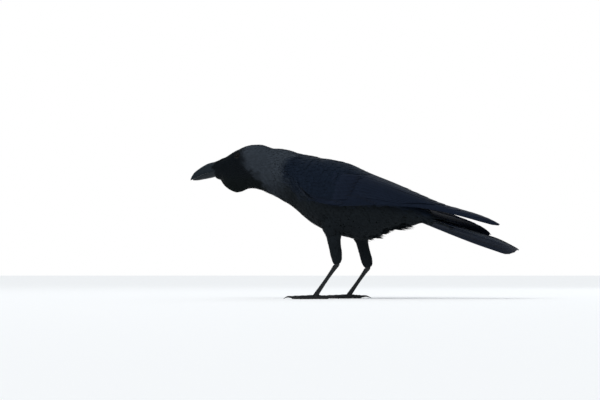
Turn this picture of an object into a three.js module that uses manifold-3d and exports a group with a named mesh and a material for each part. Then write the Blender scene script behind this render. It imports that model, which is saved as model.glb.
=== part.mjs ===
// A house crow that stands leaning forward on level ground, at life size, in millimetres.
// Bill toward -X, tail toward +X, the bird's left side toward -Y, the ground at Z = 0.
import * as THREE from "three";
import { mergeVertices } from "three/addons/utils/BufferGeometryUtils.js";
import Module from "manifold-3d";

const wasm = await Module();
wasm.setup();

// ---------- driving dimensions ----------

const gap = 0.3; // clearance between neighbouring pieces
const bodySides = 26; // facets round the head, neck and trunk
const bodyStep = 6.4; // length of one facet along the body

const neckFront = -112; // where the head ends and the neck begins
const neckBack = -80; // where the neck ends and the trunk begins

// Outline of the plumage from the bill base to the tail root, without the wings.
// top and bottom are heights, half is half the width, level is the height of the widest point.
const bodyStations = [
  { at: "bill base", x: -169, top: 167.4, bottom: 147.4, half: 8.4, level: 158 },
  { at: "chin", x: -161.5, top: 169.8, bottom: 141.8, half: 11.2, level: 159.5 },
  { at: "forehead", x: -151.5, top: 175.9, bottom: 133.6, half: 14.9, level: 162 },
  { at: "eyes", x: -142, top: 181.2, bottom: 130, half: 17.4, level: 163.5 },
  { at: "cheeks", x: -132, top: 185.1, bottom: 134, half: 19, level: 163 },
  { at: "crown", x: -123, top: 187.3, bottom: 135.6, half: 19.6, level: 162 },
  { at: "back of head", x: -112, top: 187.1, bottom: 132.6, half: 20, level: 160 },
  { at: "nape", x: -101, top: 183.6, bottom: 127.4, half: 21.4, level: 156.5 },
  { at: "neck", x: -88, top: 182, bottom: 120.8, half: 25.4, level: 152 },
  { at: "crop", x: -74, top: 179, bottom: 112.3, half: 31, level: 145.5 },
  { at: "shoulders", x: -60, top: 175.6, bottom: 100, half: 35.6, level: 138 },
  { at: "breast", x: -44, top: 172.2, bottom: 88.8, half: 37.8, level: 130 },
  { at: "keel", x: -24, top: 168.6, bottom: 79.6, half: 38.2, level: 123 },
  { at: "belly", x: 0, top: 157.6, bottom: 73.9, half: 37.4, level: 116 },
  { at: "thighs", x: 18, top: 147.6, bottom: 72.4, half: 34.6, level: 110 },
  { at: "lower belly", x: 31, top: 140.8, bottom: 76, half: 31, level: 107.5 },
  { at: "flank end", x: 44, top: 133.4, bottom: 83.6, half: 27, level: 107 },
  { at: "vent", x: 60, top: 124.6, bottom: 87.4, half: 22, level: 105 },
  { at: "tail coverts", x: 78, top: 115.4, bottom: 91.4, half: 17.4, level: 102 },
  { at: "tail root", x: 94, top: 107.2, bottom: 89.8, half: 13.4, level: 97.6 },
];
const bodyRoundness = 2.15; // exponent of the superellipse that makes each section

// Outer surface of the closed left wing: a quarter of a superellipse from the upper edge near the
// midline (height top, distance inner from it) to the lower edge (height low, distance half).
const wingStations = [
  { at: "wrist", x: -84, top: 176, low: 151, half: 28.2, inner: 24.5, thick: 5 },
  { at: "shoulder", x: -72, top: 175.5, low: 139, half: 34.6, inner: 23, thick: 8 },
  { at: "alula", x: -60, top: 175.4, low: 122.6, half: 40, inner: 21.5, thick: 9 },
  { at: "coverts", x: -38, top: 172.8, low: 113.6, half: 42.6, inner: 17.5, thick: 9 },
  { at: "secondaries", x: -8, top: 165.2, low: 111.8, half: 42.6, inner: 8, thick: 9 },
  { at: "tertials", x: 20, top: 152.6, low: 112.8, half: 39, inner: 2.2, thick: 8 },
  { at: "primary stack", x: 50, top: 140.8, low: 111.6, half: 32, inner: 1, thick: 7 },
  { at: "over the rump", x: 80, top: 127.9, low: 109.4, half: 24.8, inner: 1, thick: 5 },
  { at: "tertial tips", x: 104, top: 117.4, low: 105.4, half: 20.6, inner: 1.4, thick: 3.6 },
  { at: "over the tail", x: 128, top: 109.4, low: 99.8, half: 17.4, inner: 3, thick: 2.6 },
  { at: "wing tip", x: 152, top: 102, low: 94.8, half: 14.6, inner: 5, thick: 1.8 },
  { at: "longest primary", x: 174.6, top: 93.4, low: 89.2, half: 11.6, inner: 8.2, thick: 1.2 },
];
const wingFront = wingStations[0].x;
const wingBack = wingStations[wingStations.length - 1].x;
const wingRoundness = 2.3;
const wingEdge = 0.7; // thickness of a wing along its rims
const wingSpanPoints = 7; // points across the outer face of a wing
const wingStep = 8.5;
const wingBelly = 0.6; // exponent that keeps a wing thick until close to its rims
const wingInnerMost = 0.97; // largest share of its half width at which a section may begin
const primariesFront = 62; // where the coverts end and the long primaries go on alone
const droopStart = -20; // the right wing hangs lower than the left from here back to its tip
const rightWingDroop = 13.4; // how much lower its tip is
const rightWingShort = 6; // and how far that tip lies ahead of the left one
const droopGrowth = 1.6; // exponent of the droop along the wing

const billStations = [
  { at: "tip", x: -199.7, culmen: 145.8, gonys: 144.4, tomium: 144.9, half: 0.5 },
  { at: "hook", x: -197.4, culmen: 150.2, gonys: 144.5, tomium: 146, half: 1.5 },
  { at: "fore bill", x: -190.6, culmen: 156.8, gonys: 145.2, tomium: 148.8, half: 3.4 },
  { at: "middle", x: -180.8, culmen: 162.8, gonys: 146.5, tomium: 152.5, half: 5.4 },
  { at: "nostrils", x: -171, culmen: 166.4, gonys: 148.8, tomium: 155.8, half: 7.1 },
  { at: "base", x: -160, culmen: 167.9, gonys: 152.2, tomium: 158.8, half: 8.2 },
  { at: "gape", x: -149.5, culmen: 168.6, gonys: 155.6, tomium: 161, half: 8.4 },
];
const lowerBillInset = 0.35; // the lower mandible closes inside the upper one on each side
const lowerBillTip = -197.4;
const billStep = 3.4;
const billArcPoints = 9;
const billRoundness = 0.85; // under 1 makes the sides of the bill fuller than an ellipse

const eye = { x: -142.4, y: 9.8, z: 172.4, radius: 6.2, around: 12, down: 8 };

const tailRoot = new THREE.Vector3(80, 0, 99.2); // middle of the tail's root
const tailPitch = 18.4; // degrees below level
const tailRoll = 13; // degrees, left edge up
const tailLength = 126.4;
const tailHalfRoot = 12.5;
const tailHalfEnd = 21.5;
const tailArch = 7.4; // rise of the middle feathers above the outer ones
const tailThickRoot = 4.6;
const tailThickEnd = 1.4;
const tailTipRound = 15; // how much shorter the outer feathers are
const tailTipSag = 2.6; // how far the last tailSagLength bends down
const tailSagLength = 34;
const tailAcross = 8;
const tailStep = 19;
const tailTipPlaces = [0.35, 0.65, 0.88, 1]; // sections in the rounded tip, as shares of tailTipRound
const tailTipFullness = 0.96; // under 1 leaves the very tip blunt

// Each leg's places: hip inside the trunk, ankle, and the joint that the toes share.
const jointHeight = 4.6; // height of that joint above the ground
const legs = {
  left: {
    hip: [-28.5, -19, 96],
    knee: [-25.6, -18.5, 72],
    ankle: [-21.6, -18, 41.7],
    foot: [-47.2, -24.4],
    turn: 4,
  },
  right: {
    hip: [3, 17, 96],
    knee: [9.2, 16.6, 72],
    ankle: [17.2, 15.4, 37.8],
    foot: [-5.2, 34],
    turn: -6,
  },
};
const shankRadii = [14, 10.4, 7.4, 7, 6.5, 3.8]; // feathered shank from the trunk to the ankle
const tarsusRadii = [3.3, 2.5, 2.2, 2.2, 2.5, 2.9]; // bare tarsus from the ankle to the toes
const shankSides = 12;
const tarsusSides = 8;
const toeSides = 7;
const clawSides = 6;

// Toe bones of the left foot. Angles are degrees from straight ahead, positive toward the left side.
const toes = [
  { name: "inner_toe", angle: -27, length: 21, claw: 9.5, radius: 2.35 },
  { name: "middle_toe", angle: 0, length: 29, claw: 10.5, radius: 2.45 },
  { name: "outer_toe", angle: 25, length: 23, claw: 9, radius: 2.3 },
  { name: "hind_toe", angle: 176, length: 15.5, claw: 13, radius: 2.5 },
];
const toeHeight = 1.95; // height of a toe's middle line, under its radius so that the sole is flat
const toeStart = 3.6; // distance from the shared joint to the root of each toe
const toeRootHeight = 3; // height of a toe's middle line at that root
const toeLanding = 0.4; // share of its length after which a toe lies on the ground
const toeLandingHeight = 2.15;
const toePads = [0.82, 1, 0.92, 1.02, 0.86, 0.92, 0.66]; // swellings, as shares of a toe's radius
const clawRadius = 1.5;
const clawTaper = [1, 0.9, 0.68, 0.44, 0.2];
const clawInset = 0.8; // how far a claw's root reaches back into its toe
const clawBow = { share: 0.55, height: 2.85 }; // highest place of a claw's arc
const clawTipHeight = 0.5;
const ground = { side: 400, depth: 20 };

// ---------- materials ----------

function finish(colour, roughness, metalness = 0) {
  return new THREE.MeshStandardMaterial({ color: colour, roughness, metalness });
}

const blackPlumage = () => finish(0x0c0e16, 0.42);
const greyPlumage = () => finish(0x6b6a74, 0.8);
const charcoalPlumage = () => finish(0x25262c, 0.75);
const horn = () => finish(0x0a0a0c, 0.32);
const eyeball = () => finish(0x1a0f08, 0.06);
const scaledSkin = () => finish(0x111113, 0.5);

// ---------- helpers ----------

const radians = THREE.MathUtils.degToRad;

// One column of a station table at x, on a smooth curve through the stations.
function along(stations, column, x) {
  const last = stations.length - 1;
  const place = THREE.MathUtils.clamp(x, stations[0].x, stations[last].x);
  let i = 0;
  while (i < last - 1 && place > stations[i + 1].x) {
    i += 1;
  }
  const slopeAt = (k) => {
    const before = stations[Math.max(k - 1, 0)];
    const after = stations[Math.min(k + 1, last)];
    return (after[column] - before[column]) / (after.x - before.x);
  };
  const from = stations[i];
  const to = stations[i + 1];
  const span = to.x - from.x;
  const t = (place - from.x) / span;
  const ease = t * t * (3 - 2 * t);
  const leaving = t * (1 - t) * (1 - t) * span * slopeAt(i);
  const arriving = t * t * (t - 1) * span * slopeAt(i + 1);
  return from[column] * (1 - ease) + to[column] * ease + leaving + arriving;
}

// Places from first to last, no further apart than step.
function places(first, last, step) {
  const count = Math.ceil((last - first) / step);
  return Array.from({ length: count + 1 }, (_, i) => first + ((last - first) * i) / count);
}

function signedPower(value, power) {
  return Math.sign(value) * Math.abs(value) ** power;
}

// A closed skin over rings of equally many points, with a fan over each end.
function loft(rings) {
  const sides = rings[0].length;
  const points = rings.flat();
  const faces = [];
  for (let r = 0; r < rings.length - 1; r += 1) {
    for (let k = 0; k < sides; k += 1) {
      const a = r * sides + k;
      const b = r * sides + ((k + 1) % sides);
      faces.push(a, b, b + sides, a, b + sides, a + sides);
    }
  }
  [0, rings.length - 1].forEach((r) => {
    const middle = new THREE.Vector3();
    rings[r].forEach((p) => middle.addScaledVector(p, 1 / sides));
    const centre = points.push(middle) - 1;
    for (let k = 0; k < sides; k += 1) {
      const a = r * sides + k;
      const b = r * sides + ((k + 1) % sides);
      faces.push(...(r === 0 ? [centre, b, a] : [centre, a, b]));
    }
  });
  return closedGeometry(points, faces);
}

// The geometry of points and faces, turned inside out if its volume comes out negative.
function closedGeometry(points, faces) {
  let volume = 0;
  for (let f = 0; f < faces.length; f += 3) {
    const [a, b, c] = faces.slice(f, f + 3).map((i) => points[i]);
    volume += a.dot(new THREE.Vector3().crossVectors(b, c));
  }
  if (volume < 0) {
    faces.reverse();
  }
  const geometry = new THREE.BufferGeometry();
  const numbers = points.flatMap((p) => p.toArray());
  geometry.setAttribute("position", new THREE.Float32BufferAttribute(numbers, 3));
  geometry.setIndex(faces);
  return geometry;
}

// A tube round a path, with the radius at each of its evenly spaced rings.
function taperedTube(path, radii, sides, grow = 0) {
  const curve = new THREE.CatmullRomCurve3(path);
  const frames = curve.computeFrenetFrames(radii.length - 1);
  const rings = radii.map((radius, i) => {
    const middle = curve.getPointAt(i / (radii.length - 1));
    return Array.from({ length: sides }, (_, k) => {
      const turn = (2 * Math.PI * k) / sides;
      return middle
        .clone()
        .addScaledVector(frames.normals[i], (radius + grow) * Math.cos(turn))
        .addScaledVector(frames.binormals[i], (radius + grow) * Math.sin(turn));
    });
  });
  if (grow > 0) {
    const ends = [
      [0, frames.tangents[0], -grow],
      [rings.length - 1, frames.tangents[radii.length - 1], grow],
    ];
    ends.forEach(([r, tangent, reach]) => rings[r].forEach((p) => p.addScaledVector(tangent, reach)));
  }
  return loft(rings);
}

function toSolid(geometry) {
  const bare = geometry.clone();
  bare.deleteAttribute("normal");
  bare.deleteAttribute("uv");
  const merged = mergeVertices(bare);
  const mesh = new wasm.Mesh({
    numProp: 3,
    vertProperties: new Float32Array(merged.attributes.position.array),
    triVerts: new Uint32Array(merged.index.array),
  });
  return new wasm.Manifold(mesh);
}

function toGeometry(solid) {
  const mesh = solid.getMesh();
  const geometry = new THREE.BufferGeometry();
  geometry.setAttribute("position", new THREE.Float32BufferAttribute(mesh.vertProperties, 3));
  geometry.setIndex(Array.from(mesh.triVerts));
  return geometry;
}

// The geometry with its neighbours, already grown by the gap, cut away.
function carve(geometry, neighbours) {
  return toGeometry(neighbours.reduce((rest, n) => rest.subtract(toSolid(n)), toSolid(geometry)));
}

const crow = new THREE.Group();

function part(name, geometry, material) {
  const mesh = new THREE.Mesh(geometry, material);
  mesh.name = name;
  crow.add(mesh);
}

// ---------- head, neck and trunk ----------

function bodyRing(x, grow) {
  const top = along(bodyStations, "top", x) + grow;
  const bottom = along(bodyStations, "bottom", x) - grow;
  const half = along(bodyStations, "half", x) + grow;
  const level = along(bodyStations, "level", x);
  return Array.from({ length: bodySides }, (_, k) => {
    const turn = (2 * Math.PI * k) / bodySides;
    const out = signedPower(Math.sin(turn), 2 / bodyRoundness);
    const up = signedPower(Math.cos(turn), 2 / bodyRoundness);
    const height = up > 0 ? top - level : level - bottom;
    return new THREE.Vector3(x, half * out, level + height * up);
  });
}

function bodyLength(from, to, grow = 0) {
  return loft(places(from - grow, to + grow, bodyStep).map((x) => bodyRing(x, grow)));
}

// ---------- bill and eyes ----------

// Half an ellipse over or under the line where the two halves of the bill meet.
function billRing(x, upper, grow) {
  const tomium = along(billStations, "tomium", x) + (upper ? gap / 2 - grow : grow - gap / 2);
  const edge = along(billStations, upper ? "culmen" : "gonys", x) + (upper ? grow : -grow);
  const half = along(billStations, "half", x) - (upper ? 0 : lowerBillInset) + grow;
  return Array.from({ length: billArcPoints }, (_, k) => {
    const turn = (Math.PI * k) / (billArcPoints - 1);
    const rise = (edge - tomium) * Math.sin(turn) ** billRoundness;
    return new THREE.Vector3(x, half * Math.cos(turn), tomium + rise);
  });
}

function billHalf(upper, grow = 0) {
  const front = upper ? billStations[0].x : lowerBillTip;
  const back = billStations[billStations.length - 1].x;
  return loft(places(front - grow, back + grow, billStep).map((x) => billRing(x, upper, grow)));
}

function eyeSphere(side, grow = 0) {
  const ball = new THREE.SphereGeometry(eye.radius + grow, eye.around, eye.down);
  return ball.translate(eye.x, side * eye.y, eye.z);
}

// ---------- wings ----------

// side is -1 for the left wing and 1 for the right one.
function wingRing(x, side) {
  const station = (column) => along(wingStations, column, x);
  const behind = Math.max((x - droopStart) / (wingBack - droopStart), 0);
  const hang = side > 0 ? behind ** droopGrowth : 0;
  const outerPoint = (share, inset) => {
    const half = station("half") - inset;
    const rise = station("top") - station("low") - inset;
    const innerShare = Math.min(station("inner") / half, wingInnerMost);
    const startTurn = Math.asin(innerShare ** (wingRoundness / 2));
    const turn = startTurn + (Math.PI / 2 - startTurn) * share;
    const y = half * Math.sin(turn) ** (2 / wingRoundness);
    const z = station("low") + rise * Math.max(Math.cos(turn), 0) ** (2 / wingRoundness);
    return new THREE.Vector3(x - rightWingShort * hang, side * y, z - rightWingDroop * hang);
  };
  const shares = Array.from({ length: wingSpanPoints }, (_, k) => k / (wingSpanPoints - 1));
  const outer = shares.map((share) => outerPoint(share, 0));
  const inner = shares.map((share) => {
    const depth = wingEdge + (station("thick") - wingEdge) * Math.sin(Math.PI * share) ** wingBelly;
    return outerPoint(share, depth);
  });
  return [...outer, ...inner.reverse()];
}

function wingLength(side, from, to) {
  return loft(places(from, to, wingStep).map((x) => wingRing(x, side)));
}

// ---------- tail ----------

// A shallow arch of stacked feathers, made along X and then rolled, pitched and moved to its root.
function tailBlade() {
  const straight = tailLength - tailTipRound;
  const tipStations = tailTipPlaces.map((share) => straight + tailTipRound * share);
  const rings = [...places(0, straight, tailStep), ...tipStations].map((u) => {
    const spread = Math.sin((Math.min(u / straight, 1) * Math.PI) / 2);
    const rounding = Math.sqrt(1 - Math.max((u - straight) / tailTipRound, 0) ** 2 * tailTipFullness);
    const half = THREE.MathUtils.lerp(tailHalfRoot, tailHalfEnd, spread) * rounding;
    const thick = THREE.MathUtils.lerp(tailThickRoot, tailThickEnd, u / tailLength);
    const sag = tailTipSag * Math.max((u - tailLength) / tailSagLength + 1, 0) ** 2;
    const archAt = (y) => tailArch * (1 - (y / tailHalfEnd) ** 2) - tailArch / 2 - sag;
    const across = Array.from({ length: tailAcross }, (_, k) => half * (1 - (2 * k) / (tailAcross - 1)));
    const upper = across.map((y) => new THREE.Vector3(u, y, archAt(y) + thick / 2));
    const lower = across.map((y) => new THREE.Vector3(u, y, archAt(y) - thick / 2));
    return [...upper, ...lower.reverse()];
  });
  const blade = loft(rings);
  blade.applyMatrix4(new THREE.Matrix4().makeRotationX(radians(-tailRoll)));
  blade.applyMatrix4(new THREE.Matrix4().makeRotationY(radians(tailPitch)));
  return blade.translate(...tailRoot.toArray());
}

// ---------- legs ----------

function shank(leg, grow = 0) {
  const points = [leg.hip, leg.knee, leg.ankle].map((p) => new THREE.Vector3(...p));
  return taperedTube(points, shankRadii, shankSides, grow);
}

function tarsus(leg, grow = 0) {
  const ankle = new THREE.Vector3(...leg.ankle);
  const joint = new THREE.Vector3(...leg.foot, jointHeight);
  return taperedTube([ankle, joint], tarsusRadii, tarsusSides, grow);
}

function toeDirection(toe, side, turn) {
  const heading = radians(toe.angle + turn) * side;
  return new THREE.Vector3(-Math.cos(heading), -Math.sin(heading), 0);
}

function toeTube(leg, toe, side, grow = 0) {
  const forward = toeDirection(toe, side, leg.turn);
  const joint = new THREE.Vector3(...leg.foot, 0);
  const root = joint.clone().addScaledVector(forward, toeStart).setZ(toeRootHeight);
  const near = joint.clone().addScaledVector(forward, toe.length * toeLanding).setZ(toeLandingHeight);
  const end = joint.clone().addScaledVector(forward, toe.length).setZ(toeHeight);
  const radii = toePads.map((share) => share * toe.radius);
  return taperedTube([root, near, end], radii, toeSides, grow);
}

function clawHook(leg, toe, side, grow = 0) {
  const forward = toeDirection(toe, side, leg.turn);
  const joint = new THREE.Vector3(...leg.foot, toeLandingHeight);
  const root = joint.addScaledVector(forward, toe.length - clawInset);
  const bow = root.clone().addScaledVector(forward, toe.claw * clawBow.share).setZ(clawBow.height);
  const tip = root.clone().addScaledVector(forward, toe.claw).setZ(clawTipHeight);
  const radii = clawTaper.map((share) => share * clawRadius);
  return taperedTube([root, bow, tip], radii, clawSides, grow);
}

const soil = new THREE.BoxGeometry(ground.side, ground.side, ground.depth);
soil.translate(0, 0, -ground.depth / 2);

function addLeg(name, side) {
  const leg = legs[name];
  part(`shank_${name}`, carve(shank(leg), [trunkGrown]), charcoalPlumage());
  part(`tarsus_${name}`, carve(tarsus(leg), [shank(leg, gap), soil]), scaledSkin());
  const taken = [tarsus(leg, gap), soil];
  toes.forEach((toe) => {
    const solid = carve(toeTube(leg, toe, side), taken);
    taken.push(toeTube(leg, toe, side, gap));
    part(`${toe.name}_${name}`, solid, scaledSkin());
    const claw = carve(clawHook(leg, toe, side), [toeTube(leg, toe, side, gap), soil]);
    part(`${toe.name}_claw_${name}`, claw, horn());
  });
}

// ---------- the whole bird ----------

const headFront = bodyStations[0].x;
const trunkBack = bodyStations[bodyStations.length - 1].x;
const trunkGrown = bodyLength(neckBack, trunkBack, gap);
const neckGrown = bodyLength(neckFront, neckBack, gap);

const headHollows = [billHalf(true, gap), billHalf(false, gap), eyeSphere(-1, gap), eyeSphere(1, gap)];
part("head", carve(bodyLength(headFront, neckFront - gap), headHollows), blackPlumage());
part("neck", bodyLength(neckFront, neckBack - gap), greyPlumage());
part("trunk", bodyLength(neckBack, trunkBack), charcoalPlumage());
part("bill_upper", billHalf(true), horn());
part("bill_lower", billHalf(false), horn());
part("eye_left", eyeSphere(-1), eyeball());
part("eye_right", eyeSphere(1), eyeball());

[["left", -1], ["right", 1]].forEach(([name, side]) => {
  const foreWing = wingLength(side, wingFront, primariesFront - gap);
  const hindWing = wingLength(side, primariesFront, wingBack);
  part(`wing_${name}`, carve(foreWing, [trunkGrown, neckGrown]), blackPlumage());
  part(`primaries_${name}`, carve(hindWing, [trunkGrown]), blackPlumage());
});
part("tail", carve(tailBlade(), [trunkGrown]), blackPlumage());

addLeg("left", 1);
addLeg("right", -1);

export default crow;
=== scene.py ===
import math

import bpy
import numpy as np
from mathutils import Matrix, Vector
from mathutils.bvhtree import BVHTree
from mathutils.kdtree import KDTree


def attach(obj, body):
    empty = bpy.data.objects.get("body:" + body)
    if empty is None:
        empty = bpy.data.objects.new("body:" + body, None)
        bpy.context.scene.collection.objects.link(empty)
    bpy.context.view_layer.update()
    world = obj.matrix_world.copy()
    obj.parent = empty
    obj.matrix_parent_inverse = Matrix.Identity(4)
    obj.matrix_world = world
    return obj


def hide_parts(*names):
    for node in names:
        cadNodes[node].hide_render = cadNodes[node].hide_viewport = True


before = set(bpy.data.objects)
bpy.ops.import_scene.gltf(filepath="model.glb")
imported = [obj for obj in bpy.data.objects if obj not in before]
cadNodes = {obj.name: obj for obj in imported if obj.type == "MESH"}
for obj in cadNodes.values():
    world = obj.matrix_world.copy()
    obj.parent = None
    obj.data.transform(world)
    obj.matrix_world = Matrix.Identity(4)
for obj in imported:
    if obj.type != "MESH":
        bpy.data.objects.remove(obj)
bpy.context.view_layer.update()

mm = 0.001  # the tables below are in millimetres
print("frame loaded:", len(cadNodes), "nodes")


# ---- studio ----

studio = {
    "aim": (-0.0661, 0.0, 0.1204),  # middle of the picture
    "distance": 2.0,
    "cameraHeight": 0.03,
    "frameWidth": 0.732,  # width of the picture at the bird
    "sensor": 36.0,
    "floorSize": 60.0,
    "floorTone": (0.93, 0.92, 0.915),
    "backdrop": (1.0, 1.0, 1.0),
    "fill": (0.86, 0.94, 1.0),
    "fillStrength": 0.45,
    "daylight": {"from": (-0.5, -0.55, 1.0), "strength": 2.3, "spread": 50.0},
}
softLights = [
    {"name": "skyPanel", "at": (-0.25, 0.25, 1.5), "size": 1.6, "watts": 2.5, "tint": (0.92, 0.96, 1.0)},
    {"name": "frontPanel", "at": (-1.2, -1.5, 1.3), "size": 0.22, "watts": 1.3, "tint": (1.0, 0.97, 0.93)},
    {"name": "rimPanel", "at": (0.9, 1.1, 0.9), "size": 0.9, "watts": 1.6, "tint": (0.88, 0.94, 1.0)},
]


def aimAt(made, target):
    made.rotation_euler = (Vector(target) - made.location).to_track_quat("-Z", "Y").to_euler()


def buildStudio():
    bpy.ops.object.select_all(action="DESELECT")
    bpy.ops.mesh.primitive_plane_add(size=studio["floorSize"], location=(0, 0, -0.1 * mm))
    floor = bpy.context.active_object
    floor.name = "floor"
    paper = bpy.data.materials.new("palePaper")
    paper.use_nodes = True
    shader = paper.node_tree.nodes["Principled BSDF"]
    shader.inputs["Base Color"].default_value = (*studio["floorTone"], 1)
    shader.inputs["Roughness"].default_value = 0.9
    floor.data.materials.append(paper)

    camera = bpy.data.objects.new("camera", bpy.data.cameras.new("camera"))
    bpy.context.scene.collection.objects.link(camera)
    aim = Vector(studio["aim"])
    camera.location = (aim.x, -studio["distance"], studio["cameraHeight"])
    aimAt(camera, aim)
    camera.data.sensor_width = studio["sensor"]
    camera.data.lens = studio["sensor"] * studio["distance"] / studio["frameWidth"]
    bpy.context.scene.camera = camera

    for plan in softLights:
        light = bpy.data.objects.new(plan["name"], bpy.data.lights.new(plan["name"], "AREA"))
        bpy.context.scene.collection.objects.link(light)
        light.location = plan["at"]
        light.data.size = plan["size"]
        light.data.energy = plan["watts"]
        light.data.color = plan["tint"]
        aimAt(light, (-0.02, 0, 0.12))

    day = studio["daylight"]
    sun = bpy.data.objects.new("daylight", bpy.data.lights.new("daylight", "SUN"))
    bpy.context.scene.collection.objects.link(sun)
    sun.location = day["from"]
    sun.data.energy = day["strength"]
    sun.data.angle = math.radians(day["spread"])
    sun.visible_glossy = False  # only the small panels are mirrored in the eyes and the horn
    aimAt(sun, (0, 0, 0))

    world = bpy.data.worlds.new("studioAir")
    bpy.context.scene.world = world
    world.use_nodes = True
    tree = world.node_tree
    tree.nodes.clear()
    seen = tree.nodes.new("ShaderNodeBackground")
    seen.inputs["Color"].default_value = (*studio["backdrop"], 1)
    soft = tree.nodes.new("ShaderNodeBackground")
    soft.inputs["Color"].default_value = (*studio["fill"], 1)
    soft.inputs["Strength"].default_value = studio["fillStrength"]
    path = tree.nodes.new("ShaderNodeLightPath")
    mix = tree.nodes.new("ShaderNodeMixShader")
    out = tree.nodes.new("ShaderNodeOutputWorld")
    tree.links.new(path.outputs["Is Camera Ray"], mix.inputs[0])
    tree.links.new(soft.outputs[0], mix.inputs[1])
    tree.links.new(seen.outputs[0], mix.inputs[2])
    tree.links.new(mix.outputs[0], out.inputs[0])
    bpy.context.scene.view_settings.view_transform = "Standard"


buildStudio()
print("studio ready")


# ---- small tools ----

def ease(value):
    t = np.clip(value, 0, 1)
    return t * t * (3 - 2 * t)


# A column of a station table at x, on a smooth curve through the stations.
def along(stations, column, x):
    xs = stations[:, 0]
    ys = stations[:, column]
    last = len(xs) - 1
    before = np.maximum(np.arange(last + 1) - 1, 0)
    after = np.minimum(np.arange(last + 1) + 1, last)
    slopes = (ys[after] - ys[before]) / (xs[after] - xs[before])
    place = np.clip(x, xs[0], xs[-1])
    i = np.clip(np.searchsorted(xs, place, side="left") - 1, 0, last - 1)
    span = xs[i + 1] - xs[i]
    t = (place - xs[i]) / span
    smooth = t * t * (3 - 2 * t)
    leaving = t * (1 - t) * (1 - t) * span * slopes[i]
    arriving = t * t * (t - 1) * span * slopes[i + 1]
    return ys[i] * (1 - smooth) + ys[i + 1] * smooth + leaving + arriving


def readPoints(mesh):
    points = np.empty(len(mesh.vertices) * 3, np.float32)
    mesh.vertices.foreach_get("co", points)
    return points.reshape(-1, 3).astype(float) / mm


def writePoints(mesh, points):
    mesh.vertices.foreach_set("co", (points * mm).astype(np.float32).ravel())
    mesh.update()


def readNormals(mesh):
    normals = np.empty(len(mesh.vertices) * 3, np.float32)
    mesh.vertex_normals.foreach_get("vector", normals)
    return normals.reshape(-1, 3).astype(float)


def onlySelect(made):
    bpy.ops.object.select_all(action="DESELECT")
    made.select_set(True)
    bpy.context.view_layer.objects.active = made


def applyModifier(made, kind, **settings):
    onlySelect(made)
    modifier = made.modifiers.new(kind.lower(), kind)
    for name, value in settings.items():
        setattr(modifier, name, value)
    bpy.ops.object.modifier_apply(modifier=modifier.name)


# Runs one edit mode operator on the whole of a piece.
def editWhole(made, operation, **settings):
    onlySelect(made)
    bpy.ops.object.mode_set(mode="EDIT")
    bpy.ops.mesh.select_all(action="SELECT")
    operation(**settings)
    bpy.ops.object.mode_set(mode="OBJECT")


def faceOutwards(made):
    editWhole(made, bpy.ops.mesh.normals_make_consistent, inside=False)


# Pairs of place and value, read straight between them.
def readPairs(pairs, place):
    return np.interp(place, *zip(*pairs))


# One object that holds merged copies of CAD nodes, each grown a little so that their gaps close.
def mergedCopy(name, nodeNames, grow, extras=()):
    copies = []
    for nodeName in nodeNames:
        mesh = cadNodes[nodeName].data.copy()
        copy = bpy.data.objects.new(name, mesh)
        bpy.context.scene.collection.objects.link(copy)
        editWhole(copy, bpy.ops.mesh.remove_doubles, threshold=0.001 * mm)
        writePoints(mesh, readPoints(mesh) + readNormals(mesh) * grow)
        copies.append(copy)
    copies.extend(extras)
    bpy.ops.object.select_all(action="DESELECT")
    for copy in copies:
        copy.select_set(True)
    bpy.context.view_layer.objects.active = copies[0]
    if len(copies) > 1:
        bpy.ops.object.join()
    made = bpy.context.active_object
    made.name = name
    made.data.materials.clear()
    return made


def smoothCast(made, voxel, rounds):
    applyModifier(made, "REMESH", mode="VOXEL", voxel_size=voxel * mm, use_smooth_shade=True)
    applyModifier(made, "SMOOTH", factor=0.5, iterations=rounds)


def meshFrom(name, points, faceLists):
    mesh = bpy.data.meshes.new(name)
    loops = np.concatenate([f.ravel() for f in faceLists]).astype(np.int32)
    sizes = np.concatenate([np.full(len(f), f.shape[1]) for f in faceLists])
    mesh.vertices.add(len(points))
    mesh.loops.add(len(loops))
    mesh.polygons.add(len(sizes))
    mesh.vertices.foreach_set("co", (points * mm).astype(np.float32).ravel())
    mesh.loops.foreach_set("vertex_index", loops)
    mesh.polygons.foreach_set("loop_start", np.concatenate([[0], np.cumsum(sizes)[:-1]]).astype(np.int32))
    mesh.update(calc_edges=True)
    made = bpy.data.objects.new(name, mesh)
    bpy.context.scene.collection.objects.link(made)
    return made


def surfaceTree(*meshes):
    points = []
    faces = []
    for mesh in meshes:
        start = len(points)
        points.extend(Vector(p) for p in readPoints(mesh))
        faces.extend(tuple(start + v for v in p.vertices) for p in mesh.polygons)
    return BVHTree.FromPolygons(points, faces)


# ---- closed wings, as a surface over x and the share of the way from upper to lower edge ----

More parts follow.
